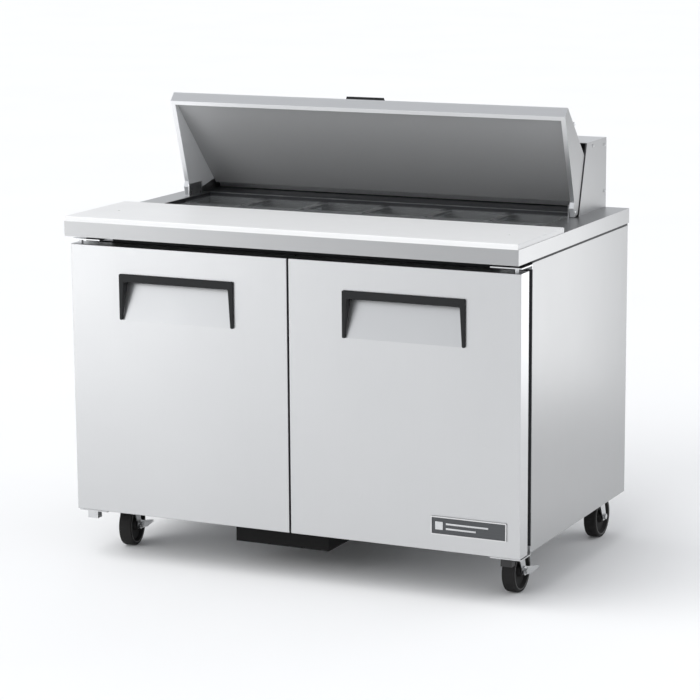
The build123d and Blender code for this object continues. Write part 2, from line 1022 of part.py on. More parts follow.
with BuildPart() as lid_handle:
    with BuildSketch(lid_plane(-lid_handle_length / 2)):
        Polygon(
            on_lid(lid_handle_set_back, 0.0),
            on_lid(0.0, lid_handle_proud),
            on_lid(lid_handle_width * handle_taper, lid_handle_proud),
            on_lid(lid_handle_width, 0.0),
            align=None,
        )
    extrude(amount=lid_handle_length)
    side_edges = lid_handle.edges().filter_by(Axis.X, reverse=True).filter_by(GeomType.LINE)
    fillet(side_edges, lid_handle_edge_r)
save(lid_handle, "lid_handle", top_unit_shift)

# ---- shelves and what carries them ----------------------------------------------
bay_inner = pilaster_depth + pilaster_side_gap
bay_outer = liner_in - liner_sheet
bay_front = frame_back + pilaster_width + pilaster_front_gap
shelf_length = bay_outer - bay_inner - 2 * (pilaster_depth + shelf_play)
shelf_mid_x = (bay_outer + bay_inner) / 2
shelf_front = bay_front + shelf_play
shelf_mid_y = shelf_front + shelf_depth / 2
shelf_floor = liner_floor + foam_gap + liner_sheet
pilaster_top = rail_top - pilaster_top_gap
pilaster_bottom = shelf_floor + pilaster_bottom_gap
pilaster_ys = (shelf_front + pilaster_inset, shelf_front + shelf_depth - pilaster_inset)
with BuildPart() as shelf_supports:
    for y in pilaster_ys:
        for side in (-1, 1):
            block(
                side * (bay_outer - pilaster_depth),
                side * bay_outer,
                y - pilaster_width / 2,
                y + pilaster_width / 2,
                pilaster_bottom,
                pilaster_top,
            )
        block(
            -pilaster_depth,
            pilaster_depth,
            y - pilaster_width / 2,
            y + pilaster_width / 2,
            pilaster_bottom,
            pilaster_top,
        )
    with BuildSketch(Plane.YZ.offset(-bay_outer - 1.0)):
        for y in pilaster_ys:
            with Locations((y, (pilaster_bottom + pilaster_top) / 2)):
                slots = int((pilaster_top - pilaster_bottom) / pilaster_slot_pitch) - 1
                with GridLocations(1.0, pilaster_slot_pitch, 1, slots):
                    Rectangle(pilaster_width * 0.4, pilaster_slot_pitch * 0.3)
    extrude(amount=2 * bay_outer + 2.0, mode=Mode.SUBTRACT)
    for level in shelf_levels:
        clip_top = shelf_floor + level
        for y in pilaster_ys:
            for side in (-1, 1):
                for root, tip in (
                    (bay_outer - pilaster_depth, bay_outer - pilaster_depth - clip_reach),
                    (pilaster_depth, pilaster_depth + clip_reach),
                ):
                    block(
                        side * root,
                        side * tip,
                        y - pilaster_width / 2,
                        y + pilaster_width / 2,
                        clip_top - clip_thickness,
                        clip_top,
                    )
save(shelf_supports, "shelf_supports")


def shelf(name, side, level):
    """One wire shelf that rests on four clips."""
    bottom = shelf_floor + level
    middle = side * shelf_mid_x
    spacing = (shelf_length - shelf_wire) / (shelf_wire_count - 1)
    with BuildPart() as rack:
        with BuildSketch(Plane.XY.offset(bottom)):
            with Locations((middle, shelf_mid_y)):
                Rectangle(shelf_length, shelf_depth)
                Rectangle(
                    shelf_length - 2 * shelf_frame_wire,
                    shelf_depth - 2 * shelf_frame_wire,
                    mode=Mode.SUBTRACT,
                )
                with GridLocations(1.0, shelf_depth / 3, 1, 2):
                    Rectangle(shelf_length, shelf_frame_wire)
        extrude(amount=shelf_frame_wire)
        with BuildSketch(Plane.XY.offset(bottom + shelf_frame_wire)):
            with Locations((middle, shelf_mid_y)):
                with GridLocations(spacing, 1.0, shelf_wire_count, 1):
                    Rectangle(shelf_wire, shelf_depth)
        extrude(amount=shelf_wire)
    save(rack, name)


for side, side_name in ((-1, "left"), (1, "right")):
    for level, level_name in zip(shelf_levels, ("lower", "upper")):
        shelf(f"{side_name}_{level_name}_shelf", side, level)

# ---- evaporator: coil, fan cover with motor and thermostat, fan ---------------
coil_half = evaporator_length / 2
coil_bottom = cold_shelf + 2 * foam_gap + liner_sheet + coil_foot
coil_top = coil_bottom + evaporator_height
coil_back = cold_back - coil_air_gap
coil_front = coil_back - evaporator_depth
with BuildPart() as evaporator_coil:
    fin_pitch = (evaporator_length - fin_thickness) / (fin_count - 1)
    with BuildSketch(Plane.YZ.offset(-coil_half)):
        for y in (coil_front + tube_inset_y, coil_back - tube_inset_y):
            for z in (coil_bottom + tube_inset_z, (coil_bottom + coil_top) / 2, coil_top - tube_inset_z):
                with Locations((y, z)):
                    Circle(line_r)
    extrude(amount=evaporator_length)
    for fin in range(fin_count):
        x = -coil_half + fin * fin_pitch
        block(x, x + fin_thickness, coil_front, coil_back, coil_bottom, coil_top)
    for x in (-coil_half, coil_half - fin_thickness):
        block(x, x + fin_thickness, coil_front, coil_back, coil_bottom - coil_foot, coil_bottom)
save(evaporator_coil, "evaporator_coil")

duct_back = coil_front - duct_gap
duct_front = duct_back - fan_duct_depth
duct_bottom = coil_bottom - coil_foot
duct_top = coil_top
fan_z = (duct_bottom + duct_top) / 2
fan_y = duct_front + fan_duct_depth * fan_depth_share
knob_x = coil_half - thermostat_from_end
arm_reach = evaporator_fan_r + 3 * fan_tip_gap
motor_front = fan_y + fan_thickness / 2 + fan_motor_gap
with BuildPart() as evaporator_cover:
    block(-coil_half, coil_half, duct_front, duct_back, duct_bottom, duct_top)
    block(
        -coil_half + duct_sheet,
        coil_half - duct_sheet,
        duct_front + duct_sheet,
        duct_back,
        duct_bottom + duct_sheet,
        duct_top - duct_sheet,
        Mode.SUBTRACT,
    )
    with BuildSketch(Plane.XZ.offset(-duct_front)):
        with Locations((0, fan_z)):
            Circle(evaporator_fan_r + fan_tip_gap)
    extrude(amount=-duct_sheet, mode=Mode.SUBTRACT)
    with BuildSketch(Plane.XZ.offset(-motor_front)):
        with Locations((0, fan_z)):
            Circle(motor_r)
    extrude(amount=-motor_length)
    with BuildSketch(Plane.XZ.offset(-motor_front)):
        with Locations((0, fan_z)):
            Circle(fan_bore_r - running_gap)
    extrude(amount=fan_motor_gap + fan_thickness)
    for side in (-1, 1):
        block(
            side * (motor_r - motor_arm_thickness),
            side * arm_reach,
            motor_front + motor_arm_back,
            motor_front + motor_arm_back + motor_arm_thickness,
            fan_z - motor_arm / 2,
            fan_z + motor_arm / 2,
        )
        block(
            side * (arm_reach - motor_arm_thickness),
            side * arm_reach,
            duct_front,
            motor_front + motor_arm_back + motor_arm_thickness,
            fan_z - motor_arm / 2,
            fan_z + motor_arm / 2,
        )
    with BuildSketch(Plane.XZ.offset(-duct_front)):
        with Locations((knob_x, fan_z)):
            Rectangle(thermostat_width, thermostat_height)
    extrude(amount=thermostat_depth)
    with BuildSketch(Plane.XZ.offset(-duct_front + thermostat_depth)):
        with Locations((knob_x, fan_z)):
            Circle(spindle_r)
    extrude(amount=spindle_length)
save(evaporator_cover, "evaporator_cover")

knob_back = -duct_front + thermostat_depth + contact_gap
with BuildPart() as thermostat_knob:
    with BuildSketch(Plane.XZ.offset(knob_back)):
        with Locations((knob_x, fan_z)):
            Circle(knob_r)
            Circle(spindle_r + running_gap, mode=Mode.SUBTRACT)
    extrude(amount=knob_depth)
    with BuildSketch(Plane.XZ.offset(knob_back + knob_depth)):
        with Locations((knob_x, fan_z)):
            Rectangle(knob_grip, 2 * knob_r - knob_grip)
            Circle(spindle_r + running_gap, mode=Mode.SUBTRACT)
    extrude(amount=knob_grip)
save(thermostat_knob, "thermostat_knob")


def fan_plane(origin, axis):
    """A sketch plane at the fan's hub, facing along its axis."""
    return Plane(origin=origin, x_dir=(0, 0, 1), z_dir=axis)


def fan(name, origin, axis, radius, bore):
    """A four-bladed fan on a hub with a bore for the motor's shaft."""
    plane = fan_plane(origin, axis)
    with BuildPart() as blades:
        with BuildSketch(plane.offset(-fan_thickness / 2)):
            Circle(fan_hub_r)
        extrude(amount=fan_thickness)
        with BuildSketch(plane.offset(-fan_thickness / 8)):
            with PolarLocations(0, fan_blades):
                with Locations(((radius + blade_overlap) / 2, 0)):
                    Rectangle(radius - blade_overlap, radius * blade_share)
            Circle(radius, mode=Mode.INTERSECT)
        extrude(amount=fan_thickness / 4)
        with BuildSketch(plane.offset(-fan_thickness / 2)):
            Circle(bore)
        extrude(amount=fan_thickness, mode=Mode.SUBTRACT)
    save(blades, name)


fan("evaporator_fan", (0, fan_y, fan_z), (0, 1, 0), evaporator_fan_r, fan_bore_r)

# ---- condensing unit in the machine compartment ---------------------------------
machine_floor = z_base + sheet
machine_mid_y = (food_back + wall_foam + y_back) / 2
condenser_bottom = machine_floor + condenser_lift
condenser_top = condenser_bottom + condenser_height
condenser_half_y = condenser_width / 2
with BuildPart() as condenser_coil:
    condenser_left = condenser_x
    condenser_right = condenser_x + condenser_thickness
    condenser_mid_x = condenser_x + condenser_thickness / 2
    row_pitch = (condenser_height - fin_thickness) / (condenser_rows - 1)
    for row in range(condenser_rows):
        z = condenser_bottom + row * row_pitch
        block(
            condenser_left,
            condenser_right,
            machine_mid_y - condenser_half_y,
            machine_mid_y + condenser_half_y,
            z,
            z + fin_thickness,
        )
    for side in (-1, 1):
        block(
            condenser_left,
            condenser_right,
            machine_mid_y + side * condenser_half_y,
            machine_mid_y + side * (condenser_half_y + fin_thickness),
            machine_floor,
            condenser_top,
        )
    for step in (-1, 0, 1):
        with BuildSketch(Plane.XY.offset(condenser_bottom)):
            with Locations((condenser_mid_x, machine_mid_y + step * condenser_tube_pitch)):
                Circle(line_r)
        extrude(amount=condenser_height)
    condenser_fan_z = (condenser_bottom + condenser_top) / 2
    with BuildSketch(Plane.YZ.offset(condenser_left)):
        with Locations((machine_mid_y, condenser_fan_z)):
            Rectangle(2 * condenser_half_y + 2 * fin_thickness, condenser_height)
            Circle(condenser_fan_r + shroud_gap, mode=Mode.SUBTRACT)
    extrude(amount=-shroud_thickness)
    motor_right = condenser_left - fan_motor_reach
    with BuildSketch(Plane.YZ.offset(motor_right)):
        with Locations((machine_mid_y, condenser_fan_z)):
            Circle(motor_r)
    extrude(amount=-2 * motor_length)
    condenser_fan_x = condenser_left - shroud_thickness - fan_thickness
    with BuildSketch(Plane.YZ.offset(motor_right)):
        with Locations((machine_mid_y, condenser_fan_z)):
            Circle(fan_bore_r - running_gap)
    extrude(amount=condenser_fan_x + fan_thickness / 2 - motor_right)
    block(
        motor_right - motor_length - motor_post / 2,
        motor_right - motor_length + motor_post / 2,
        machine_mid_y - motor_post / 2,
        machine_mid_y + motor_post / 2,
        machine_floor,
        condenser_fan_z,
    )
save(condenser_coil, "condenser_coil")

condenser_fan_place = (condenser_fan_x, machine_mid_y, condenser_fan_z)
fan("condenser_fan", condenser_fan_place, (1, 0, 0), condenser_fan_r, fan_bore_r)

with BuildPart() as compressor:
    block(
        compressor_x - compressor_foot,
        compressor_x + compressor_foot,
        machine_mid_y - compressor_r - fin_thickness / 2,
        machine_mid_y + compressor_r + fin_thickness / 2,
        machine_floor,
        machine_floor + compressor_plate,
    )
    with BuildSketch(Plane.XY.offset(machine_floor + compressor_plate)):
        with Locations((compressor_x, machine_mid_y)):
            Circle(compressor_r)
    extrude(amount=compressor_height)
    fillet(compressor.edges().filter_by(GeomType.CIRCLE).group_by(Axis.Z)[-1], compressor_dome_r)
    block(
        compressor_x - compressor_r - relay_depth,
        compressor_x - compressor_r + relay_depth,
        machine_mid_y - relay_box / 2,
        machine_mid_y + relay_box / 2,
        machine_floor + relay_bottom,
        machine_floor + relay_top,
    )
    with BuildLine() as suction_path:
        FilletPolyline(
            (compressor_x + suction_x, machine_mid_y, machine_floor + suction_from),
            (compressor_x + suction_x, machine_mid_y, machine_floor + suction_height),
            (condenser_x + condenser_thickness / 2, machine_mid_y, machine_floor + suction_height),
            (condenser_x + condenser_thickness / 2, machine_mid_y, condenser_top + line_r),
            radius=suction_bend_r,
        )
    with BuildSketch(Plane(origin=suction_path.line @ 0, z_dir=suction_path.line % 0)):
        Circle(line_r)
    sweep()
save(compressor, "compressor")

# ---- black tray under the cabinet -----------------------------------------------
tray_front = y_front + tray_from_front
tray_back = y_back - tray_from_back
tray_right = tray_left + tray_width
tray_flange_top = z_base - tray_flange_drop
with BuildPart() as unit_tray:
    block(tray_left, tray_right, tray_front, tray_back, z_base - tray_drop, z_base)
    block(
        tray_left + tray_wall,
        tray_right - tray_wall,
        tray_front + tray_wall,
        tray_back - tray_wall,
        z_base - tray_drop + tray_wall,
        z_base,
        Mode.SUBTRACT,
    )
    block(
        tray_right,
        tray_right + tray_flange,
        tray_front,
        tray_back,
        tray_flange_top - tray_flange_thickness,
        tray_flange_top,
    )
save(unit_tray, "unit_tray")


# ---- casters ----------------------------------------------------------------------
def turned(x, y, heading, z=0.0):
    """A plane at a caster's swivel axis, turned to the way the wheel trails."""
    angle = radians(heading)
    return Plane(origin=(x, y, z), x_dir=(cos(angle), sin(angle), 0), z_dir=(0, 0, 1))


def beside(x, y, heading, across):
    """A vertical plane beside the wheel: local x runs the way it trails, local y is up."""
    angle = radians(heading)
    out = (cos(angle), sin(angle), 0)
    return Plane(
        origin=(x + across * out[0], y + across * out[1], 0),
        x_dir=(-sin(angle), cos(angle), 0),
        z_dir=out,
    )


def caster(name, x, y, heading, braked):
    """One swivel caster: a fork with its axle, a wheel, and on a front caster a brake lever."""
    lever_space = lever_thickness + 2 * contact_gap if braked else 0.0
    with BuildPart() as fork:
        with BuildSketch(turned(x, y, heading, crown_top)):
            Circle(fork_crown_r)
            with Locations((0, wheel_trail * (1 - fork_drop))):
                Rectangle(2 * fork_outer, 2 * fork_crown_r * fork_drop)
            Circle(kingpin_r + running_gap, mode=Mode.SUBTRACT)
        extrude(amount=-fork_plate)
        for across in (-fork_outer, fork_inner):
            with BuildSketch(beside(x, y, heading, across)):
                Polygon(
                    (-fork_crown_r * fork_share, crown_top),
                    (fork_crown_r, crown_top),
                    (wheel_trail + lever_eye_r, wheel_z),
                    (wheel_trail + lever_eye_r * fork_share, wheel_z - lever_eye_r * fork_drop),
                    (wheel_trail - lever_eye_r * fork_share, wheel_z - lever_eye_r * fork_drop),
                    (wheel_trail - lever_eye_r, wheel_z),
                    align=None,
                )
            extrude(amount=fork_plate)
        with BuildSketch(beside(x, y, heading, -fork_outer - bolt_head_height)):
            with Locations((wheel_trail, wheel_z)):
                RegularPolygon(bolt_head_r, 6)
        extrude(amount=bolt_head_height)
        with BuildSketch(beside(x, y, heading, -fork_outer)):
            with Locations((wheel_trail, wheel_z)):
                Circle(axle_r)
        extrude(amount=2 * fork_outer + lever_space)
        with BuildSketch(beside(x, y, heading, fork_outer + lever_space)):
            with Locations((wheel_trail, wheel_z)):
                RegularPolygon(bolt_head_r, 6)
        extrude(amount=bolt_head_height)
    save(fork, f"{name}_fork")

    rim_r = wheel_r - wheel_rim_band
    web = tread_width * wheel_web_share
    tread_flat = tread_width / 2 - wheel_shoulder
    with BuildPart() as wheel:
        axle_plane = Plane(
            origin=beside(x, y, heading, 0).from_local_coords((wheel_trail, wheel_z, 0)),
            x_dir=beside(x, y, heading, 0).z_dir,
            z_dir=beside(x, y, heading, 0).x_dir,
        )
        with BuildSketch(axle_plane):
            with BuildLine():
                Polyline(
                    (-tread_width / 2, axle_r + running_gap),
                    (tread_width / 2, axle_r + running_gap),
                    (tread_width / 2, wheel_hub_r),
                    (web, wheel_hub_r + hub_rise),
                    (web, rim_r - wheel_shoulder),
                    (tread_width / 2 - wheel_step, rim_r),
                    (tread_width / 2, wheel_r - wheel_shoulder),
                )
                JernArc((tread_width / 2, wheel_r - wheel_shoulder), (0, 1), wheel_shoulder, 90)
                Line((tread_flat, wheel_r), (-tread_flat, wheel_r))
                JernArc((-tread_width / 2 + wheel_shoulder, wheel_r), (-1, 0), wheel_shoulder, 90)
                Polyline(
                    (-tread_width / 2, wheel_r - wheel_shoulder),
                    (-tread_width / 2 + wheel_step, rim_r),
                    (-web, rim_r - wheel_shoulder),
                    (-web, wheel_hub_r + hub_rise),
                    (-tread_width / 2, wheel_hub_r),
                    (-tread_width / 2, axle_r + running_gap),
                )
            make_face()
        revolve(axis=Axis(axle_plane.origin, axle_plane.x_dir))
    save(wheel, f"{name}_wheel")

    if not braked:
        return
    lever_in = fork_outer + contact_gap
    pedal_back = wheel_trail + lever_reach
    with BuildPart() as lever:
        with BuildSketch(beside(x, y, heading, lever_in)):
            with Locations((wheel_trail, wheel_z)):
                Circle(lever_eye_r)
            Polygon(
                (wheel_trail, wheel_z + lever_eye_r * lever_share),
                (pedal_back, wheel_z - lever_drop + lever_tip),
                (pedal_back, wheel_z - lever_drop),
                (wheel_trail + lever_reach / 2, wheel_z - lever_drop - lever_belly),
                (wheel_trail, wheel_z - lever_eye_r * lever_share),
                align=None,
            )
            with Locations((wheel_trail, wheel_z)):
                Circle(axle_r + running_gap, mode=Mode.SUBTRACT)
        extrude(amount=lever_thickness)
        with BuildSketch(beside(x, y, heading, lever_in + lever_thickness)):
            Polygon(
                (pedal_back - pedal_length, wheel_z - lever_drop + pedal_rise),
                (pedal_back, wheel_z - lever_drop + pedal_rise - lever_tip + sheet),
                (pedal_back, wheel_z - lever_drop - sheet),
                (pedal_back - pedal_length, wheel_z - lever_drop + pedal_rise - lever_thickness),
                align=None,
            )
        extrude(amount=-pedal_width)
    save(lever, f"{name}_brake_lever")


casters = (
    ("front_left", -caster_x, front_caster_y, front_left_heading, True),
    ("front_right", caster_x, front_caster_y, 0.0, True),
    ("rear_left", -caster_x, rear_caster_y, 0.0, False),
    ("rear_right", caster_x, rear_caster_y, 0.0, False),
)
for name, x, y, heading, braked in casters:
    caster(name, x, y, heading, braked)

with BuildPart() as caster_plates:
    for name, x, y, heading, braked in casters:
        block(
            x - caster_plate_x / 2,
            x + caster_plate_x / 2,
            y - caster_plate_y / 2,
            y + caster_plate_y / 2,
            z_base - plate_thickness,
            z_base,
        )
        with BuildSketch(Plane.XY.offset(z_base - plate_thickness)):
            with Locations((x, y)):
                Circle(raceway_r)
        extrude(amount=-raceway_height)
        with BuildSketch(Plane.XY.offset(raceway_bottom)):
            with Locations((x, y)):
                Circle(kingpin_r)
        extrude(amount=-(fork_plate + contact_gap))
save(caster_plates, "caster_plates")

print("hinge x, y:", round(hinge_x, 3), round(hinge_y, 3))
print("lid pivot y, z:", round(pivot_y, 3), round(pivot_z, 3))
print("caster x, front y, rear y:", caster_x, front_caster_y, rear_caster_y)
print("fan y, z:", round(fan_y, 3), round(fan_z, 3))
print("condenser fan x, y, z:", condenser_fan_place)
print("knob x:", knob_x)
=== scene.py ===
# %% [markdown]
# # A refrigerated sandwich prep table
# This lesson dresses a finished engineering model: a steel cabinet with two doors, a cutting board,
# twelve food pans under an insulated lid, and four casters. The shapes that move and carry load come
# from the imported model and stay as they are. Blender adds the finishes and the small made things,
# such as screws, seals, guards and pipes.

import math

import bpy
from mathutils import Matrix, Vector


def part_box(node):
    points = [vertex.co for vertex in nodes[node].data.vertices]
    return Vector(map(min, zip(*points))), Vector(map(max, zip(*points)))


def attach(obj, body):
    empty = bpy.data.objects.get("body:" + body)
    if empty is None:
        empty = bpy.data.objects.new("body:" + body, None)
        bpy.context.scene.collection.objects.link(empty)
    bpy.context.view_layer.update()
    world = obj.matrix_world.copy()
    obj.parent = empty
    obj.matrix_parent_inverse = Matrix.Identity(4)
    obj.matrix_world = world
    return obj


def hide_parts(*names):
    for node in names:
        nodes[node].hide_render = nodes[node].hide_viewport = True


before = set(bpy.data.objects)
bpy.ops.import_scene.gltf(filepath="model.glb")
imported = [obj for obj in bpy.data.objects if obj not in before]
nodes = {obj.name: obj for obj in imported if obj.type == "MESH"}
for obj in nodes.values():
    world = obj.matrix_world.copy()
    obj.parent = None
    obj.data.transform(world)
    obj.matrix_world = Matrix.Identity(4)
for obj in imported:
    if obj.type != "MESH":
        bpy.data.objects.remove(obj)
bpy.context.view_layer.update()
print("parts in the frame:", len(nodes))

# %% [markdown]
# ## The camera
# A camera is described by where it stands and by three turns. Writing its axes as a matrix keeps
# every turn exact. The lens is long, so the cabinet's edges stay nearly parallel.

# %% Place the camera
camera_place = Vector((2.851457, -6.008627, 1.815802))
camera_yaw = 0.444892
camera_pitch = -0.192196
camera_roll = -0.006739
camera_lens = 135.12

ahead = Vector((
    -math.sin(camera_yaw) * math.cos(camera_pitch),
    math.cos(camera_yaw) * math.cos(camera_pitch),
    math.sin(camera_pitch),
))
level_right = Vector((math.cos(camera_yaw), math.sin(camera_yaw), 0.0))
level_up = level_right.cross(ahead)
right = math.cos(camera_roll) * level_right + math.sin(camera_roll) * level_up
up = math.cos(camera_roll) * level_up - math.sin(camera_roll) * level_right

camera_data = bpy.data.cameras.new("camera")
camera_data.lens = camera_lens
camera_data.sensor_width = 36.0
camera = bpy.data.objects.new("camera", camera_data)
bpy.context.scene.collection.objects.link(camera)
axes = Matrix((right, up, -ahead)).transposed().to_4x4()
camera.matrix_world = Matrix.Translation(camera_place) @ axes
bpy.context.scene.camera = camera
print("camera at", tuple(round(v, 3) for v in camera_place))

# %% [markdown]
# ## Shader maths in Python
# Node trees are easier to read as sums. `Signal` wraps one socket and turns `+`, `-`, `*`, `<`, `>` and
# `abs` into Math nodes. The reflected forms let a plain number stand first, as in `1 - mask`.

# %% A socket that does sums
class Signal:
    """A shader socket that takes part in Python sums."""

    def __init__(self, finish, socket):
        self.finish = finish
        self.socket = socket

    def math(self, operation, *values):
        inputs = dict(enumerate(values))
        return self.finish.node("ShaderNodeMath", {"operation": operation}, inputs)

    def __add__(self, other):
        return self.math("ADD", self, other)

    def __radd__(self, other):
        return self.math("ADD", other, self)

    def __sub__(self, other):
        return self.math("SUBTRACT", self, other)

    def __rsub__(self, other):
        return self.math("SUBTRACT", other, self)

    def __mul__(self, other):
        return self.math("MULTIPLY", self, other)

    def __rmul__(self, other):
        return self.math("MULTIPLY", other, self)

    def __gt__(self, other):
        return self.math("GREATER_THAN", self, other)

    def __lt__(self, other):
        return self.math("LESS_THAN", self, other)

    def __abs__(self):
        return self.math("ABSOLUTE", self)


print("sums that add a node: + - * < > abs")

# %% [markdown]
# ## A material that builds itself
# `Finish` is one material. It owns the tree and has one method that adds any node, and short ones for
# stretched noise, a colour ramp, a choice of two colours, and the last step of every finish.

# %% One material and its nodes
class Finish:
    """One material, with its Principled shader and its object coordinates ready."""

    def __init__(self, name, **uniform):
        self.material = bpy.data.materials.new(name)
        self.material.use_nodes = True
        self.tree = self.material.node_tree
        self.shader = self.tree.nodes["Principled BSDF"]
        self.place = self.node("ShaderNodeTexCoord", {}, {}, "Object")
        for socket, value in uniform.items():
            self.shader.inputs[socket.replace("_", " ")].default_value = value

    def node(self, kind, settings, inputs, output=0):
        """Adds one node: first its settings, then the value or link of each socket."""
        node = self.tree.nodes.new(kind)
        for name, value in settings.items():
            if name == "stops":
                ramp = node.color_ramp
                ramp.elements[0].position, ramp.elements[0].color = value[0]
                ramp.elements[1].position, ramp.elements[1].color = value[-1]
                for position, colour in value[1:-1]:
                    ramp.elements.new(position).color = colour
            else:
                setattr(node, name, value)
        for name, value in inputs.items():
            if isinstance(value, Signal):
                self.tree.links.new(value.socket, node.inputs[name])
            else:
                node.inputs[name].default_value = value
        return Signal(self, node.outputs[output])

    def drive(self, socket, signal):
        """Feeds a signal to one of the shader's own sockets."""
        self.tree.links.new(signal.socket, self.shader.inputs[socket])

    def split(self, vector):
        """The x, y and z of a vector as three signals."""
        parts = self.node("ShaderNodeSeparateXYZ", {}, {0: vector})
        outputs = parts.socket.node.outputs
        return [Signal(self, outputs[i]) for i in range(3)]

    def noise(self, stretch, detail=2.0, roughness=0.5):
        """Noise from 0 to 1, by waves per metre: one number, or three for x, y and z."""
        if isinstance(stretch, float):
            stretch = (stretch,) * 3
        mapped = self.node("ShaderNodeMapping", {}, {"Vector": self.place, "Scale": stretch})
        inputs = {"Vector": mapped, "Scale": 1.0, "Detail": detail, "Roughness": roughness}
        return self.node("ShaderNodeTexNoise", {}, inputs)

    def colours(self, factor, *stops):
        """A colour ramp through evenly spaced colours."""
        last = len(stops) - 1
        places = [(i / last, (*colour, 1.0)) for i, colour in enumerate(stops)]
        return self.node("ShaderNodeValToRGB", {"stops": places}, {"Fac": factor})

    def pick(self, factor, first, second):
        """first where the factor is 0 and second where it is 1, for colours."""
        inputs = {0: factor, 6: first, 7: second}
        return self.node("ShaderNodeMix", {"data_type": "RGBA"}, inputs, 2)

    def finished(self, colour, rough, height, depth, strength):
        """Drives colour, roughness and a bump of a depth in metres; returns the material."""
        inputs = {"Strength": strength, "Distance": depth, "Height": height}
        self.drive("Base Color", colour)
        self.drive("Roughness", rough)
        self.drive("Normal", self.node("ShaderNodeBump", {}, inputs))
        return self.material


def grey(value, tint=0.0):
    """A neutral colour, a little bluer for a positive tint."""
    return (value, value * (1 + tint / 2), value * (1 + tint))


print("a slightly blue grey:", grey(0.5, 0.04))

# %% [markdown]
# ## Stainless steel
# Rolled stainless sheet is brushed in one direction. The lines are about a tenth of a millimetre wide
# and hundreds of millimetres long, so the noise is stretched some two hundred times along the grain.
# The grain changes roughness and relief, and larger soft clouds stand for wiping marks.
# Sheets that wrap a corner have grain that turns with the face, so the side faces, found by their
# normal, use another stretch. Their colour is scaled as painted shade on some parts and as painted
# light on others, and each part's base grey is set lighter or darker as painted light and shade.

# %% Brushed stainless, with its grain turned at the ends
grain_fine = 1400.0
grain_long = 6.0
sideways_from = 0.7
brush_depth = 0.00006


def brushed_steel(name, along, across_ends, shade, rough, clouding=0.05, ends=1.0, metallic=1.0,
                  painted_inner_light=None):
    """Grained stainless; sideways faces turn the grain and are scaled as painted light and shade."""
    steel = Finish(name, Metallic=metallic)
    main = [grain_fine] * 3
    main[along] = grain_long
    turned = [grain_fine] * 3
    turned[across_ends] = grain_long
    normal = steel.node("ShaderNodeNewGeometry", {}, {}, "Normal")
    sideways = abs(steel.split(normal)[0]) > sideways_from
    lines = steel.noise(main) * (1 - sideways) + steel.noise(turned) * sideways
    clouds = steel.noise((2.2, 2.2, 1.6), detail=3.0)
    smears = steel.noise((9.0, 9.0, 5.0), detail=4.0, roughness=0.6)
    tone = lines * 0.35 + clouds * 0.65
    dark = grey(shade - clouding, 0.015)
    light = grey(shade + clouding * 0.6, 0.01)
    # ends scales the sideways faces' colour: painted shade below 1, painted light above 1.
    painted_end_colours = [[value * ends for value in colour] for colour in (dark, light)]
    front = steel.colours(tone, dark, light)
    colour = steel.pick(sideways, front, steel.colours(tone, *painted_end_colours))
    # Inward-facing ends get a pale grey (dull) and less metal: painted light on the lid's inner end
    # faces.
    if painted_inner_light:
        inward = sideways * (steel.split(normal)[0] * steel.split(steel.place)[0] < 0.0)
        dull = tuple(value * painted_inner_light for value in light)
        colour = steel.pick(inward, colour, steel.colours(tone, dull, dull))
        steel.drive("Metallic", metallic - inward * 0.8)
    return steel.finished(colour, rough - 0.06 + lines * 0.10 + smears * 0.07, lines, brush_depth, 0.35)


# Each part's base grey is set lighter or darker as painted light and shade; ends darkens the hood and lid
# ends as painted shade and lightens the worktop and lid lining ends as painted light.
door_steel = brushed_steel("door_stainless", 2, 2, 0.60, 0.34)
panel_steel = brushed_steel("side_stainless", 2, 2, 0.44, 0.36)
worktop_steel = brushed_steel("worktop_stainless", 0, 1, 0.42, 0.32, ends=1.05)
hood_steel = brushed_steel("hood_stainless", 0, 1, 0.60, 0.33, ends=0.66)
lid_steel = brushed_steel("lid_stainless", 0, 1, 0.85, 0.33, ends=0.43, painted_inner_light=0.95)
lid_inner_steel = brushed_steel(
    "lid_inner_stainless", 0, 1, 0.48, 0.48, clouding=0.02, ends=1.9, metallic=0.30)
stainless = (door_steel, panel_steel, worktop_steel, hood_steel, lid_steel, lid_inner_steel)
print("stainless finishes:", len(stainless))

# %% [markdown]
# ## Zinc-coated sheet
# The back and the underside are galvanised. Molten zinc freezes into crystals, which show as a mosaic
# of slightly different greys. A Voronoi texture gives each crystal its own colour. Small pressed parts
# are plated instead, so they are bright and only dulled where they are handled.

# %% Galvanised sheet and plated hardware
def galvanised(name, shade, crystals):
    """Galvanised steel with zinc crystals of the given number per metre."""
    sheet = Finish(name, Metallic=1.0)
    inputs = {"Vector": sheet.place, "Scale": crystals, "Randomness": 1.0}
    cells = sheet.node("ShaderNodeTexVoronoi", {}, inputs, "Color")
    flake = sheet.split(cells)[0]
    dull = sheet.noise(6.0, detail=4.0)
    tone = flake * 0.6 + dull * 0.4
    return sheet.finished(
        sheet.colours(tone, grey(shade * 0.72, 0.04), grey(shade, 0.02)),
        0.36 + flake * 0.16 + dull * 0.08, flake, 0.00004, 0.3)


def plated(name, shade, rough):
    """Bright plating on small pressed parts, dulled where it is handled."""
    plate = Finish(name, Metallic=1.0)
    wear = plate.noise(60.0, detail=4.0, roughness=0.6)
    fine = plate.noise(900.0)
    return plate.finished(
        plate.colours(wear, grey(shade * 0.8, 0.03), grey(shade, 0.01)),
        rough + wear * 0.18, fine, 0.00004, 0.4)


galvanised_sheet = galvanised("galvanised_sheet", 0.55, 70.0)
emblem_metal = plated("emblem_metal", 0.72, 0.28)
zinc_plate = plated("zinc_plate", 0.68, 0.20)


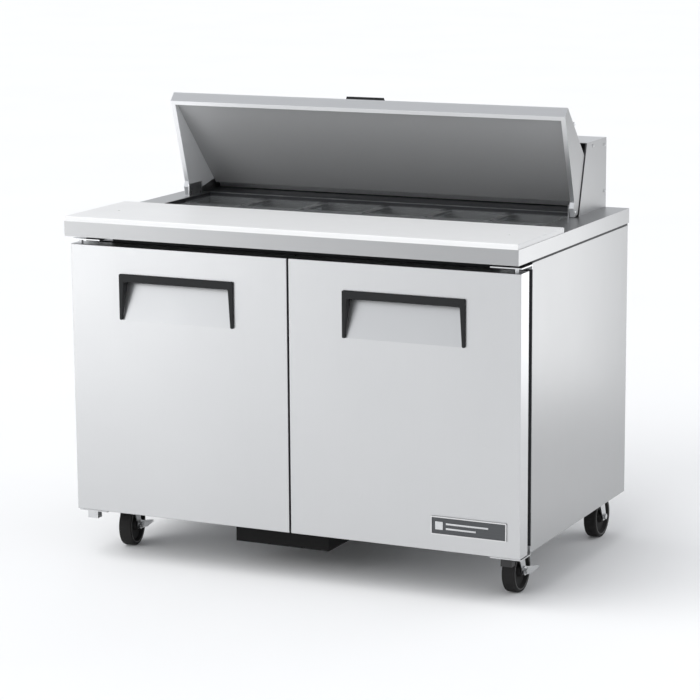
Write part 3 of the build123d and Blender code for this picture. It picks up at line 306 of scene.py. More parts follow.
def bracket_finish(name, shade_below):
    """Plated steel, with the lug under the right door painted near-black as shade."""
    plate = Finish(name)
    across, _, height = plate.split(plate.place)
    # The low lug on the right is painted near-black, matte and not metal: painted shade under the right
    # door.
    painted_shade_lug = (height < shade_below) * (across > 0.0)
    wear = plate.noise(60.0, detail=4.0, roughness=0.6)
    steel = plate.colours(wear, grey(0.54, 0.03), grey(0.68, 0.01))
    black = plate.colours(wear, grey(0.010), grey(0.018))
    plate.drive("Metallic", 1 - painted_shade_lug)
    return plate.finished(
        plate.pick(painted_shade_lug, steel, black), 0.20 + wear * 0.18 + painted_shade_lug * 0.25, wear, 0.00004, 0.4)


# The lug that is painted black as shade reaches this high.
lug_height = 0.018
lug_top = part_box("hinge_brackets")[0].z + lug_height
bracket_zinc = bracket_finish("bracket_zinc", lug_top)
bright_plate = plated("bright_plate", 0.80, 0.10)
print("the capped lug ends at", round(lug_top, 3))

# %% [markdown]
# ## Aluminium lining
# The inside is lined with thin aluminium that is embossed with a pebble pattern, which hides scratches.
# Smooth Voronoi distance gives rounded pebbles. The fins of both coils are the same metal, left plain.

# %% Embossed lining and plain aluminium
def pebbled_lining(name):
    """Aluminium sheet embossed with rounded pebbles."""
    lining = Finish(name, Metallic=1.0)
    inputs = {"Vector": lining.place, "Scale": 150.0, "Smoothness": 0.6}
    pebbles = lining.node("ShaderNodeTexVoronoi", {"feature": "SMOOTH_F1"}, inputs, "Distance")
    haze = lining.noise(5.0, detail=3.0)
    return lining.finished(
        lining.colours(haze, grey(0.62, 0.01), grey(0.74)), 0.34 + haze * 0.14, 1 - pebbles, 0.0006, 0.5)


def plain_aluminium(name, shade):
    """Bare aluminium with a soft haze and fine rolling lines."""
    metal = Finish(name, Metallic=1.0)
    haze = metal.noise(12.0, detail=3.0)
    fine = metal.noise((40.0, 700.0, 700.0))
    return metal.finished(
        metal.colours(haze, grey(shade * 0.85, 0.01), grey(shade)),
        0.30 + haze * 0.15 + fine * 0.08, fine, 0.00004, 0.3)


lining_metal = pebbled_lining("pebbled_lining")
fin_metal = plain_aluminium("fin_aluminium", 0.72)
cover_metal = plain_aluminium("cover_aluminium", 0.66)
print("aluminium:", lining_metal.name, fin_metal.name, cover_metal.name)

# %% [markdown]
# ## Plastics
# Moulded plastic is never quite smooth: the mould's spark-eroded skin leaves a fine even texture. The
# cutting board is dense polyethylene with a faint haze of knife marks, which are long thin noise in two
# directions. The pans are clear, so nearly all light passes through them.

# %% Moulded plastics
def moulded(name, colour, rough, texture, depth=0.00008):
    """Moulded plastic with a spark-eroded skin; texture is in grains per metre."""
    plastic = Finish(name, Specular_IOR_Level=0.25)
    skin = plastic.noise(texture, detail=1.0)
    rub = plastic.noise(14.0, detail=4.0, roughness=0.6)
    light = tuple(c * 1.35 + 0.004 for c in colour)
    return plastic.finished(
        plastic.colours(rub, colour, light), rough + rub * 0.12 - skin * 0.05, skin, depth, 0.5)


def board_plastic(name):
    """White polyethylene with faint knife marks."""
    board = Finish(name, Specular_IOR_Level=0.4)
    cuts_across = board.noise((8.0, 700.0, 40.0), detail=3.0, roughness=0.7)
    cuts_along = board.noise((600.0, 10.0, 40.0), detail=3.0, roughness=0.7)
    cuts = (cuts_across > 0.62) * 0.5 + (cuts_along > 0.66) * 0.5
    haze = board.noise(5.0, detail=4.0)
    tone = haze * 0.7 + cuts * 0.3
    return board.finished(
        board.colours(tone, (0.74, 0.74, 0.738), (0.66, 0.66, 0.657)),
        0.42 + haze * 0.12 + cuts * 0.10, 1 - cuts, 0.00005, 0.3)


def clear_pan_plastic(name):
    """Clear moulded plastic, faintly hazed by washing."""
    pan = Finish(name, Transmission_Weight=0.9, IOR=1.49)
    haze = pan.noise(30.0, detail=4.0)
    fine = pan.noise((260.0, 260.0, 60.0))
    return pan.finished(
        pan.colours(haze, (0.86, 0.89, 0.90), (0.95, 0.965, 0.97)),
        0.05 + haze * 0.12, fine, 0.00006, 0.3)


handle_plastic = moulded("handle_black_plastic", (0.007, 0.0075, 0.008), 0.50, 900.0)
frame_plastic = moulded("frame_black_plastic", (0.022, 0.023, 0.025), 0.45, 700.0)
knob_plastic = moulded("knob_black_plastic", (0.015, 0.015, 0.016), 0.36, 1000.0)
board_white = board_plastic("board_polyethylene")
pan_clear = clear_pan_plastic("pan_polycarbonate")
print("plastics:", handle_plastic.name, frame_plastic.name, board_white.name, pan_clear.name)

# %% [markdown]
# ## Rubber, foam and paint
# Rubber is dull and picks up pale dust. Rigid foam fills the walls: its cells are a Voronoi texture, and
# where it borders the pan opening it is painted near-black as the shade inside the opening. Sprayed
# paint has a low orange-peel surface, which is a faint bump.

# %% Rubber, foam and paint
def rubber(name, colour, dust, rough=0.62):
    """Dull rubber with pale dust in its low places."""
    material = Finish(name, Specular_IOR_Level=0.25)
    fine = material.noise(500.0, detail=3.0, roughness=0.6)
    patches = material.noise(28.0, detail=5.0, roughness=0.65)
    return material.finished(
        material.colours(patches * 0.7 + fine * 0.3, colour, dust),
        rough + patches * 0.22, fine, 0.0001, 0.5)


def foam(name, shade_from):
    """Pale yellow rigid foam, painted near-black as shade where it borders the pan opening."""
    material = Finish(name)
    painted_shade = material.split(material.place)[2] > shade_from
    inputs = {"Vector": material.place, "Scale": 420.0}
    cells = material.node("ShaderNodeTexVoronoi", {}, inputs, "Distance")
    age = material.noise(7.0, detail=3.0)
    bare = material.colours(age, (0.78, 0.66, 0.36), (0.86, 0.78, 0.52))
    shade_colours = material.colours(age, (0.012, 0.012, 0.013), (0.024, 0.024, 0.025))
    return material.finished(
        material.pick(painted_shade, bare, shade_colours), 0.85 + cells * 0.1 - painted_shade * 0.3, cells, 0.0004, 0.6)


def painted(name, colour, rough):
    """Sprayed paint with a slight orange-peel surface and rubbed patches."""
    paint = Finish(name, Specular_IOR_Level=0.15)
    peel = paint.noise(240.0, detail=1.0)
    rub = paint.noise(9.0, detail=5.0, roughness=0.65)
    light = tuple(c * 1.6 + 0.002 for c in colour)
    return paint.finished(paint.colours(rub, colour, light), rough + rub * 0.2, peel, 0.00012, 0.4)


gasket_rubber = rubber("gasket_rubber", (0.030, 0.031, 0.033), (0.060, 0.060, 0.062), 0.50)
tread_rubber = rubber("tread_rubber", (0.007, 0.007, 0.0075), (0.020, 0.019, 0.018))
bumper_rubber = rubber("bumper_rubber", (0.016, 0.016, 0.017), (0.045, 0.044, 0.043))
tyre_line = rubber("tyre_moulding_line", (0.10, 0.10, 0.10), (0.17, 0.17, 0.165), 0.5)
# The foam is painted near-black as shade from this far below the liner's top.
shade_reach = 0.012
wall_foam = foam("wall_foam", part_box("liner")[1].z - shade_reach)
unit_black = painted("unit_black_paint", (0.004, 0.004, 0.004), 0.55)
shelf_white = painted("shelf_coating", (0.74, 0.75, 0.75), 0.30)
door_inner_white = moulded("door_inner_panel", (0.66, 0.67, 0.68), 0.34, 160.0)
print("finishes so far:", len(bpy.data.materials))

# %% [markdown]
# ## One node, two materials
# The compressor node holds a painted shell and bare copper pipe, and the plate on the right door has a
# bright rim round a dark face. Their meshes can't be cut, so the shader picks a colour by height or by
# depth, from object coordinates.

# %% Copper pipe, the compressor and the door plate
def copper(name):
    """Bare copper that has tarnished in patches."""
    pipe = Finish(name, Metallic=1.0)
    tarnish = pipe.noise(24.0, detail=5.0, roughness=0.6)
    fine = pipe.noise(500.0)
    return pipe.finished(
        pipe.colours(tarnish, (0.42, 0.16, 0.08), (0.78, 0.36, 0.20)),
        0.24 + tarnish * 0.24, fine, 0.00004, 0.3)


def compressor_finish(name, pipe_from):
    """Black paint below a height and copper above it."""
    shell = Finish(name)
    pipe = shell.split(shell.place)[2] > pipe_from
    rub = shell.noise(14.0, detail=5.0, roughness=0.65)
    peel = shell.noise(240.0, detail=1.0)
    paint = shell.colours(rub, (0.014, 0.014, 0.015), (0.034, 0.034, 0.036))
    metal = shell.colours(rub, (0.42, 0.16, 0.08), (0.76, 0.35, 0.19))
    shell.drive("Metallic", pipe)
    return shell.finished(
        shell.pick(pipe, paint, metal), 0.30 + rub * 0.22 + peel * 0.05, peel, 0.0001, 0.4)


def plate_finish(name, face_at):
    """A dark face with a bright rim: the rim stands in front of a depth."""
    plate = Finish(name)
    rim = plate.split(plate.place)[1] < face_at
    lines = plate.noise((8.0, 900.0, 1200.0))
    face = plate.colours(lines, (0.050, 0.053, 0.057), (0.080, 0.083, 0.087))
    bright = plate.colours(lines, grey(0.62), grey(0.80))
    plate.drive("Metallic", 0.35 + rim * 0.65)
    return plate.finished(plate.pick(rim, face, bright), 0.26 + lines * 0.12, lines, 0.00004, 0.3)


shell_height = 0.1755
rim_depth = 0.0008
badge_low, badge_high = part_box("badge")
pipe_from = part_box("compressor")[0].z + shell_height
pipe_copper = copper("pipe_copper")
compressor_shell = compressor_finish("compressor_shell", pipe_from)
plate_metal = plate_finish("door_plate", badge_low.y + rim_depth)
print("copper pipe starts at", round(pipe_from, 3))

# %% [markdown]
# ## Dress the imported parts
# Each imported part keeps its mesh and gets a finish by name. A dictionary of endings is enough, because
# parts that are alike have names that end alike. The pans are numbered, so they go in by full name.

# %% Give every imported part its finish
finish_by_ending = {
    "side_panels": panel_steel,
    "worktop": worktop_steel,
    "hood": hood_steel,
    "lid_skin": lid_steel,
    "lid_liner": lid_inner_steel,
    "door_skin": door_steel,
    "door_inner_panel": door_inner_white,
    "door_gasket": gasket_rubber,
    "_handle": handle_plastic,
    "back_panel": galvanised_sheet,
    "rear_grille": galvanised_sheet,
    "base_panel": galvanised_sheet,
    "insulation": wall_foam,
    "liner": lining_metal,
    "front_frame": frame_plastic,
    "pan_rails": frame_plastic,
    "cutting_board": board_white,
    "hinge_brackets": bracket_zinc,
    "shelf_supports": zinc_plate,
    "caster_plates": zinc_plate,
    "fork": zinc_plate,
    "brake_lever": bright_plate,
    "wheel": tread_rubber,
    "shelf": shelf_white,
    "_coil": fin_metal,
    "evaporator_cover": cover_metal,
    "_fan": fin_metal,
    "thermostat_knob": knob_plastic,
    "compressor": compressor_shell,
    "unit_tray": unit_black,
    "badge": plate_metal,
}
finish_by_ending.update({name: pan_clear for name in nodes if "_pan_" in name})

for name, part in nodes.items():
    endings = [ending for ending in finish_by_ending if name.endswith(ending)]
    finish = finish_by_ending[max(endings, key=len)]
    for slot in part.material_slots:
        slot.material = finish
print("dressed:", len(nodes))

# %% [markdown]
# ## Tools for small parts
# An operator acts on everything that is selected, so each helper starts from a clean selection. Faces
# and edges are chosen by where they are and which way they look, as one would by eye. A finished part
# has its place in its mesh, so its object can stay at the origin.

# %% Select, edit and settle
def deselect():
    """Leaves no object selected."""
    bpy.ops.object.select_all(action="DESELECT")


def only(*pieces):
    """Selects these objects and nothing else; the last one is active."""
    deselect()
    for piece in pieces:
        piece.select_set(True)
    bpy.context.view_layer.objects.active = pieces[-1]


def edit(piece, kind, wanted):
    """Opens edit mode with the faces or edges selected whose middle and direction pass a test."""
    only(piece)
    bpy.ops.object.mode_set(mode="EDIT")
    bpy.ops.mesh.select_mode(type=kind)
    bpy.ops.mesh.select_all(action="DESELECT")
    bpy.ops.object.mode_set(mode="OBJECT")
    mesh = piece.data
    if kind == "FACE":
        for face in mesh.polygons:
            face.select = wanted(face.center, face.normal)
    else:
        for edge in mesh.edges:
            start, end = (mesh.vertices[i].co for i in edge.vertices)
            edge.select = wanted((start + end) / 2, (end - start).normalized())
    bpy.ops.object.mode_set(mode="EDIT")


def settle(piece):
    """Leaves edit mode and puts the object's place, turn and size into its mesh."""
    if piece.mode == "EDIT":
        bpy.ops.object.mode_set(mode="OBJECT")
    only(piece)
    bpy.ops.object.transform_apply(location=True, rotation=True, scale=True)
    return piece


# %% [markdown]
# ## Bars, copies and finished pieces
# A bar is a cube stretched between two corners, its edges bevelled. What repeats is modelled once, facing
# up, and copied. A finished piece is named, dressed and sent with the body it moves with.

# %% Make a bar, copy a pattern, complete a piece
def bar(low, high, bevel):
    """A bar between two corners with all its edges rounded."""
    deselect()
    bpy.ops.mesh.primitive_cube_add(size=1.0, location=(Vector(low) + Vector(high)) / 2)
    piece = bpy.context.object
    piece.scale = Vector(high) - Vector(low)
    settle(piece)
    edit(piece, "EDGE", lambda place, way: True)
    bpy.ops.mesh.bevel(offset=bevel, segments=2, affect="EDGES")
    return settle(piece)


def turn_to(way):
    """The turn that takes straight up to a direction."""
    return way.to_track_quat("Z", "Y").to_euler()


def copy_at(pattern, place, facing=None):
    """A copy of a part with its own mesh, moved, and turned from facing up to facing a way."""
    only(pattern)
    bpy.ops.object.duplicate(linked=False)
    piece = bpy.context.object
    if facing:
        piece.rotation_euler = turn_to(Vector(facing))
    piece.location = place
    return settle(piece)


def complete(parts, name, finish, body, smooth=35.0):
    """Joins parts into one named piece, dresses it and sends it with a body."""
    only(*parts)
    if len(parts) > 1:
        bpy.ops.object.join()
    piece = bpy.context.object
    bpy.ops.object.shade_smooth_by_angle(angle=math.radians(smooth))
    piece.name = name
    piece.data.name = name
    piece.data.materials.clear()
    piece.data.materials.append(finish)
    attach(piece, body)
    print(name, "rides on", body)
    return piece


# %% [markdown]
# ## Seals, and strips of painted shade
# A black strip fills the gap between the outer panels and the worktop, on both sides and at the back: it
# is painted shade for the dark line under the worktop's edge. Two seals lie along the hood's sloping
# front edges. They are plain extrusions with soft edges, so each is a bar with rounded edges, and the
# sloping ones are bars turned to the hood's slope.

# %% Strips round the cabinet and the hood
side_low, side_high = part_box("side_panels")
top_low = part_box("worktop")[0]
hood_low, hood_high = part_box("hood")
strip_inset = 0.0003
strip_width = 0.0009
strip_round = 0.0002

strip_x = side_high.x - strip_inset
strip_back = side_high.y + strip_inset
strip_corners = (
    ((strip_x - strip_width, side_low.y), (strip_x, strip_back)),
    ((-strip_x, side_low.y), (strip_width - strip_x, strip_back)),
    ((-strip_x, strip_back - strip_width), (strip_x, strip_back)),
)
strips = [
    bar((*near, side_high.z), (*far, top_low.z), strip_round) for near, far in strip_corners
]
complete(strips, "panel_shade_strips", gasket_rubber, "cabinet")

slope_run = 0.054
seal_width = 0.0035
seal_front, seal_rear = -0.0035, -0.0005
seal_end_gap = 0.002
seal_round = 0.0008
slope_rise = hood_high.z - hood_low.z
slope_length = math.hypot(slope_run, slope_rise)
slope_angle = math.atan2(slope_run, slope_rise)


def slope_seal(x_from, x_to):
    """A seal that lies along the hood's sloping front edge."""
    top = slope_length - seal_end_gap
    strip = bar((x_from, seal_front, seal_end_gap), (x_to, seal_rear, top), seal_round)
    strip.rotation_euler = (-slope_angle, 0.0, 0.0)
    strip.location = (0.0, hood_low.y, hood_low.z)
    return settle(strip)


hood_seals = [
    slope_seal(hood_low.x, hood_low.x + seal_width),
    slope_seal(hood_high.x - seal_width, hood_high.x),
]
complete(hood_seals, "hood_front_seals", gasket_rubber, "cabinet")

# %% [markdown]
# ## Black sheet under the hood
# Behind the pans a black plastic sheet, folded up at the back, lines the inside of the hood: it is
# painted shade for the dark hollow there. It is one thin sheet, so it starts as a plane over the
# worktop, its rear edge is extruded upwards, and Solidify gives it its thickness.

# %% Fold the sheet
sheet_front_gap = 0.002
sheet_side_gap = 0.004
sheet_lift = 0.0002
sheet_thickness = 0.0008
fold_height = slope_rise - 0.01
fold_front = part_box("pan_rails")[1].y + sheet_front_gap
fold_back = hood_high.y - sheet_side_gap
deselect()
bpy.ops.mesh.primitive_plane_add(size=1.0, location=(
    (hood_low.x + hood_high.x) / 2, (fold_front + fold_back) / 2, hood_low.z + sheet_lift))
shade_sheet = bpy.context.object
shade_sheet.scale = (hood_high.x - hood_low.x - 2 * sheet_side_gap, fold_back - fold_front, 1.0)
settle(shade_sheet)
edit(shade_sheet, "EDGE", lambda place, way: place.y > fold_back - 0.001)
bpy.ops.mesh.extrude_region_move(TRANSFORM_OT_translate={"value": (0.0, 0.0, fold_height)})
bpy.ops.object.mode_set(mode="OBJECT")
thicken = shade_sheet.modifiers.new("thickness", "SOLIDIFY")
thicken.thickness = sheet_thickness
thicken.offset = 1.0
bpy.ops.object.modifier_apply(modifier="thickness")
complete([shade_sheet], "hood_shade_sheet", frame_plastic, "cabinet")

# %% [markdown]
# ## Screws and rivets
# The sheets are held by pan-head screws with a cross recess. One screw is modelled: a low cylinder whose
# upper rim is bevelled into a dome, and two crossed bars cut the recess. A rivet is a larger dome with a
# shallow round dip.

# %% One cross-head screw and one rivet
screw_r = 0.0042
screw_height = 0.0022
recess_width, recess_length, recess_height = 0.0009, 0.0045, 0.0024
deselect()
bpy.ops.mesh.primitive_cylinder_add(
    vertices=24, radius=screw_r, depth=screw_height, location=(0.0, 0.0, screw_height / 2))
screw = settle(bpy.context.object)
edit(screw, "EDGE", lambda place, way: place.z > screw_height * 0.9 and abs(way.z) < 0.1)
bpy.ops.mesh.bevel(offset=screw_height * 0.65, segments=3, affect="EDGES")
settle(screw)
recess_middle = Vector((0.0, 0.0, screw_height + 0.0001))
for size_x, size_y in ((recess_width, recess_length), (recess_length, recess_width)):
    half = Vector((size_x, size_y, recess_height)) / 2
    cutter = bar(recess_middle - half, recess_middle + half, 0.0001)
    cut = screw.modifiers.new("cut", "BOOLEAN")
    cut.object = cutter
    cut.operation = "DIFFERENCE"
    cut.solver = "EXACT"
    only(screw)
    bpy.ops.object.modifier_apply(modifier="cut")
    bpy.data.objects.remove(cutter)

rivet_r = 0.0055
rivet_height = 0.003
deselect()
bpy.ops.mesh.primitive_cylinder_add(
    vertices=28, radius=rivet_r, depth=rivet_height, location=(0.0, 0.0, rivet_height / 2))
rivet = settle(bpy.context.object)
edit(rivet, "EDGE", lambda place, way: place.z > rivet_height * 0.9 and abs(way.z) < 0.1)
bpy.ops.mesh.bevel(offset=rivet_height * 0.6, segments=3, affect="EDGES")
settle(rivet)
edit(rivet, "FACE", lambda place, way: way.z > 0.95)
bpy.ops.mesh.inset(thickness=0.001, depth=-0.0006)
settle(rivet)
print("screw and rivet faces:", len(screw.data.polygons), len(rivet.data.polygons))

# %% [markdown]
# ## Where the screws and rivets go
# Each pattern is copied to its places and turned to face outwards: on both ends of the hood and the lid,
# along the back sheets, and on the cover inside. Each group becomes one piece.

# %% Screws and rivets on the hood, the lid, the back and the inside
right_way, left_way = (1.0, 0.0, 0.0), (-1.0, 0.0, 0.0)
back_way, front_way = (0.0, 1.0, 0.0), (0.0, -1.0, 0.0)


def both_ends(pattern, low_x, high_x, places):
    """Copies at places (y, z) on the right and left ends of a part, facing outwards."""
    ends = ((high_x, right_way), (low_x, left_way))
    return [copy_at(pattern, (x, y, z), way) for y, z in places for x, way in ends]


hood_places = ((0.350, 0.920), (0.262, 1.046), (0.346, 1.040))
hood_screws = both_ends(screw, hood_low.x, hood_high.x, hood_places)
complete(hood_screws, "hood_screws", zinc_plate, "cabinet")

lid_low, lid_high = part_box("lid_skin")
lid_end_inset = 0.0025
lid_places = ((0.143, 0.893), (0.1315, 1.114))
lid_rivets = both_ends(rivet, lid_low.x + lid_end_inset, lid_high.x - lid_end_inset, lid_places)
complete(lid_rivets, "lid_end_rivets", bright_plate, "lid")

back_low, back_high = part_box("back_panel")
grille_low, grille_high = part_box("rear_grille")
sheet_back = grille_high.y
edge_x = 0.590
back_rows = (back_low.z + 0.014, back_high.z - 0.016)
grille_rows = (grille_low.z + 0.016, grille_high.z - 0.020, (grille_low.z + grille_high.z) / 2)
back_places = [(x, z) for x in (-edge_x, -edge_x / 2, 0.0, edge_x / 2, edge_x) for z in back_rows]
back_places += [(x, z) for x in (-edge_x, edge_x) for z in grille_rows]
back_screws = [copy_at(screw, (x, sheet_back, z), back_way) for x, z in back_places]
complete(back_screws, "back_screws", zinc_plate, "cabinet")

cover_low, cover_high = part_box("evaporator_cover")
duct_face = cover_low.y + 0.014
cover_columns = (-0.285, -0.14, 0.14, 0.285)
cover_rows = (cover_low.z + 0.010, cover_high.z - 0.010)
inside_screws = [
    copy_at(screw, (x, duct_face, z), front_way) for x in cover_columns for z in cover_rows
]
complete(inside_screws, "evaporator_cover_screws", zinc_plate, "cabinet")

# %% [markdown]
# ## Fan guards
# A guard of round wire keeps fingers from each fan. Its rings are tori on one plane, and its spokes are
# thin rods welded across them. One guard is modelled at the origin for each fan, facing up, and then
# turned and moved to its fan. The condenser's guard stands on four legs.

# %% Wire guards
wire_r = 0.0012
spoke_lift = 1.6 * wire_r
spokes = 8


def wire_guard(radii, inner, outer):
    """Rings of round wire in the plane z = 0, with spokes between two radii across them."""
    parts = []
    for radius in radii:
        deselect()
        bpy.ops.mesh.primitive_torus_add(
            major_radius=radius, minor_radius=wire_r, major_segments=56, minor_segments=8)
        parts.append(settle(bpy.context.object))
    for step in range(spokes):
        angle = 2 * math.pi * step / spokes
        way = Vector((math.cos(angle), math.sin(angle), 0.0))
        deselect()
        bpy.ops.mesh.primitive_cylinder_add(vertices=10, radius=wire_r, depth=outer - inner)
        spoke = bpy.context.object
        spoke.rotation_euler = turn_to(way)
        spoke.location = way * (inner + outer) / 2 + Vector((0.0, 0.0, spoke_lift))
        parts.append(settle(spoke))
    only(*parts)
    bpy.ops.object.join()
    return bpy.context.object


fan_low, fan_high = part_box("evaporator_fan")
fan_middle = (fan_low + fan_high) / 2
cold_radii = (0.016, 0.030, 0.044, 0.058, 0.071)
cold_guard = wire_guard(cold_radii, 0.015, 0.0715)
placed = copy_at(cold_guard, (fan_middle.x, duct_face - wire_r, fan_middle.z), front_way)
complete([placed], "evaporator_fan_guard", zinc_plate, "cabinet")
bpy.data.objects.remove(cold_guard)

blower_low, blower_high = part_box("condenser_fan")
blower_middle = (blower_low + blower_high) / 2
hot_radii = (0.014, 0.030, 0.046, 0.062, 0.080)
hot_guard = wire_guard(hot_radii, 0.013, 0.0805)
guard_x = blower_low.x - 0.005
leg_foot_x = 0.107
placed = copy_at(hot_guard, (guard_x, blower_middle.y, blower_middle.z), left_way)
legs = []
for corner in range(4):
    angle = math.pi / 4 + corner * math.pi / 2
    leg_y = blower_middle.y + hot_radii[-1] * math.cos(angle)
    leg_z = blower_middle.z + hot_radii[-1] * math.sin(angle)
    deselect()
    bpy.ops.mesh.primitive_cylinder_add(
        vertices=10, radius=wire_r, depth=leg_foot_x - guard_x,
        location=((guard_x + leg_foot_x) / 2, leg_y, leg_z), rotation=(0.0, math.pi / 2, 0.0))
    legs.append(settle(bpy.context.object))
complete([placed, *legs], "condenser_fan_guard", zinc_plate, "cabinet")
bpy.data.objects.remove(hot_guard)

# %% [markdown]
# ## Return bends of the coils
# A coil is one long pipe that folds to and fro through its fins, so its straight runs are joined by
# half-circle bends at the ends. A disc of the pipe's size is spun half a turn round the middle between
# two runs, which is what the bending machine does.

# %% Spin the bends
pipe_r = 0.005


def return_bend(first, second, outwards):
    """Half a turn of pipe between two run ends, bulging outwards."""
    first, second, outwards = Vector(first), Vector(second), Vector(outwards)
    deselect()
    bpy.ops.mesh.primitive_circle_add(vertices=16, radius=pipe_r, fill_type="NGON", location=first)
    bend = bpy.context.object
    bend.rotation_euler = turn_to(outwards)
    settle(bend)
    edit(bend, "FACE", lambda place, way: True)
    axis = (second - first).normalized().cross(outwards)
    bpy.ops.mesh.spin(steps=14, angle=-math.pi, center=(first + second) / 2, axis=axis)
    bpy.ops.mesh.select_all(action="SELECT")
    bpy.ops.mesh.remove_doubles(threshold=0.00001)
    bpy.ops.mesh.normals_make_consistent(inside=False)
    return settle(bend)


evap_low, evap_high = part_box("evaporator_coil")
run_inset = 0.020
front_y, rear_y = evap_low.y + run_inset, evap_high.y - run_inset
run_z = (evap_low.z + 0.037, evap_low.z + 0.077, evap_high.z - 0.025)
bends = [return_bend((evap_low.x, front_y, z), (evap_low.x, rear_y, z), left_way) for z in run_z]
for y, first_z, second_z in ((rear_y, run_z[0], run_z[1]), (front_y, run_z[1], run_z[2])):
    bends.append(return_bend((evap_high.x, y, first_z), (evap_high.x, y, second_z), right_way))
complete(bends, "evaporator_bends", pipe_copper, "cabinet", 60.0)

tube_x = 0.1325
tube_spread = 0.050
coil_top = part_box("condenser_coil")[1].z
tube_ends = [(tube_x, blower_middle.y + side * tube_spread, coil_top) for side in (-1, 1)]
hot_bend = return_bend(*tube_ends, (0.0, 0.0, 1.0))
complete([hot_bend], "condenser_bend", pipe_copper, "cabinet", 60.0)

# %% [markdown]
# ## Round-wire shelves
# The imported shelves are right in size, but their wires are square. Each real shelf is a frame of round
# rod with thinner wires welded on top and two rods under them. One shelf is built at its place and then
# copied to the other three.

# %% Build one shelf and copy it
shelf_names = ["left_lower_shelf", "left_upper_shelf", "right_lower_shelf", "right_upper_shelf"]
shelf_low, shelf_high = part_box(shelf_names[0])
rod_r = 0.003
thin_r = 0.002
wires = 21
corner_r = 0.012


def rod(start, end, radius):
    """A rod between two points, with a rim marked in each flat end."""
    start, end = Vector(start), Vector(end)
    deselect()
    bpy.ops.mesh.primitive_cylinder_add(vertices=12, radius=radius, depth=(end - start).length)
    piece = bpy.context.object
    piece.rotation_euler = turn_to(end - start)
    piece.location = (start + end) / 2
    settle(piece)
    along = (end - start).normalized()
    edit(piece, "FACE", lambda place, way: abs(way.dot(along)) > 0.9)
    bpy.ops.mesh.inset(thickness=radius * 0.35)
    return settle(piece)


def frame_rod(low, high, z, radius):
    """A closed ring of rod with rounded corners, from a cyclic curve."""
    points = []
    for x, y, turn in ((high.x, high.y, 0), (low.x, high.y, 1), (low.x, low.y, 2), (high.x, low.y, 3)):
        cx = x - math.copysign(corner_r + radius, x - (low.x + high.x) / 2)
        cy = y - math.copysign(corner_r + radius, y - (low.y + high.y) / 2)
        for step in range(5):
            angle = (turn + step / 4) * math.pi / 2
            points.append((cx + corner_r * math.cos(angle), cy + corner_r * math.sin(angle), z))
    data = bpy.data.curves.new("ring", "CURVE")
    data.dimensions = "3D"
    data.bevel_depth = radius
    data.bevel_resolution = 2
    line = data.splines.new("POLY")
    line.points.add(len(points) - 1)
    for point, place in zip(line.points, points):
        point.co = (*place, 1.0)
    line.use_cyclic_u = True
    ring = bpy.data.objects.new("ring", data)
    bpy.context.scene.collection.objects.link(ring)
    only(ring)
    bpy.ops.object.convert(target="MESH")
    return settle(bpy.context.object)


parts = [frame_rod(shelf_low, shelf_high, shelf_low.z + rod_r, rod_r)]
for share in (1 / 3, 2 / 3):
    y = shelf_low.y + (shelf_high.y - shelf_low.y) * share
    start = (shelf_low.x + rod_r, y, shelf_low.z + rod_r)
    parts.append(rod(start, (shelf_high.x - rod_r, y, shelf_low.z + rod_r), rod_r))
wire_z = shelf_low.z + 2 * rod_r + thin_r * 0.8
spacing = (shelf_high.x - shelf_low.x - 2 * rod_r) / (wires - 1)
for number in range(wires):
    x = shelf_low.x + rod_r + number * spacing
    parts.append(rod((x, shelf_low.y, wire_z), (x, shelf_high.y, wire_z), thin_r))
only(*parts)
bpy.ops.object.join()
first_shelf = bpy.context.object
shelves = {name: copy_at(first_shelf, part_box(name)[0] - shelf_low) for name in shelf_names[1:]}
shelves[shelf_names[0]] = first_shelf
for name, shelf in shelves.items():
    complete([shelf], "wire_" + name, shelf_white, name, 60.0)
    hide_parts(name)

# %% [markdown]
# ## Thermostat dial
# The numbers 1 to 7 stand round the knob. They are text curves with a hair of thickness, like raised
# paint, and are made meshes. The knob has a white pointer line that turns with it.

# %% Numbers and a pointer
knob_low, knob_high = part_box("thermostat_knob")
knob_middle = (knob_low + knob_high) / 2
dial_face = knob_high.y + 0.0003
dial_r = 0.0215
first_angle, angle_step = 225.0, 45.0
figure_size = 0.0065
figures = []
for number in range(1, 8):
    angle = math.radians(first_angle - (number - 1) * angle_step)
    way = Vector((math.cos(angle), 0.0, math.sin(angle)))
    place = Vector((knob_middle.x, dial_face, knob_middle.z)) + way * dial_r
    deselect()
    bpy.ops.object.text_add(location=place, rotation=(math.pi / 2, 0.0, 0.0))
    text = bpy.context.object
    text.data.body = str(number)
    text.data.size = figure_size
    text.data.align_x = text.data.align_y = "CENTER"
    text.data.extrude = 0.0001
    bpy.ops.object.convert(target="MESH")
    figures.append(settle(bpy.context.object))
complete(figures, "dial_numbers", shelf_white, "cabinet")

pointer_low = (knob_middle.x - 0.0008, knob_low.y - 0.0004, knob_middle.z + 0.003)
pointer_high = (knob_middle.x + 0.0008, knob_low.y + 0.0002, knob_middle.z + 0.0145)
pointer = bar(pointer_low, pointer_high, 0.00015)
complete([pointer], "knob_pointer", shelf_white, "thermostat_knob")

# %% [markdown]
# ## Caster details
# A swivel caster turns on a ring of balls between two pressed races, which shows as a rounded bright
# rim under the plate. Four bolts hold the plate, and the tyre has a pale moulding line near each edge.
# Each caster has a place and a heading in degrees, and the lines are turned to that heading.

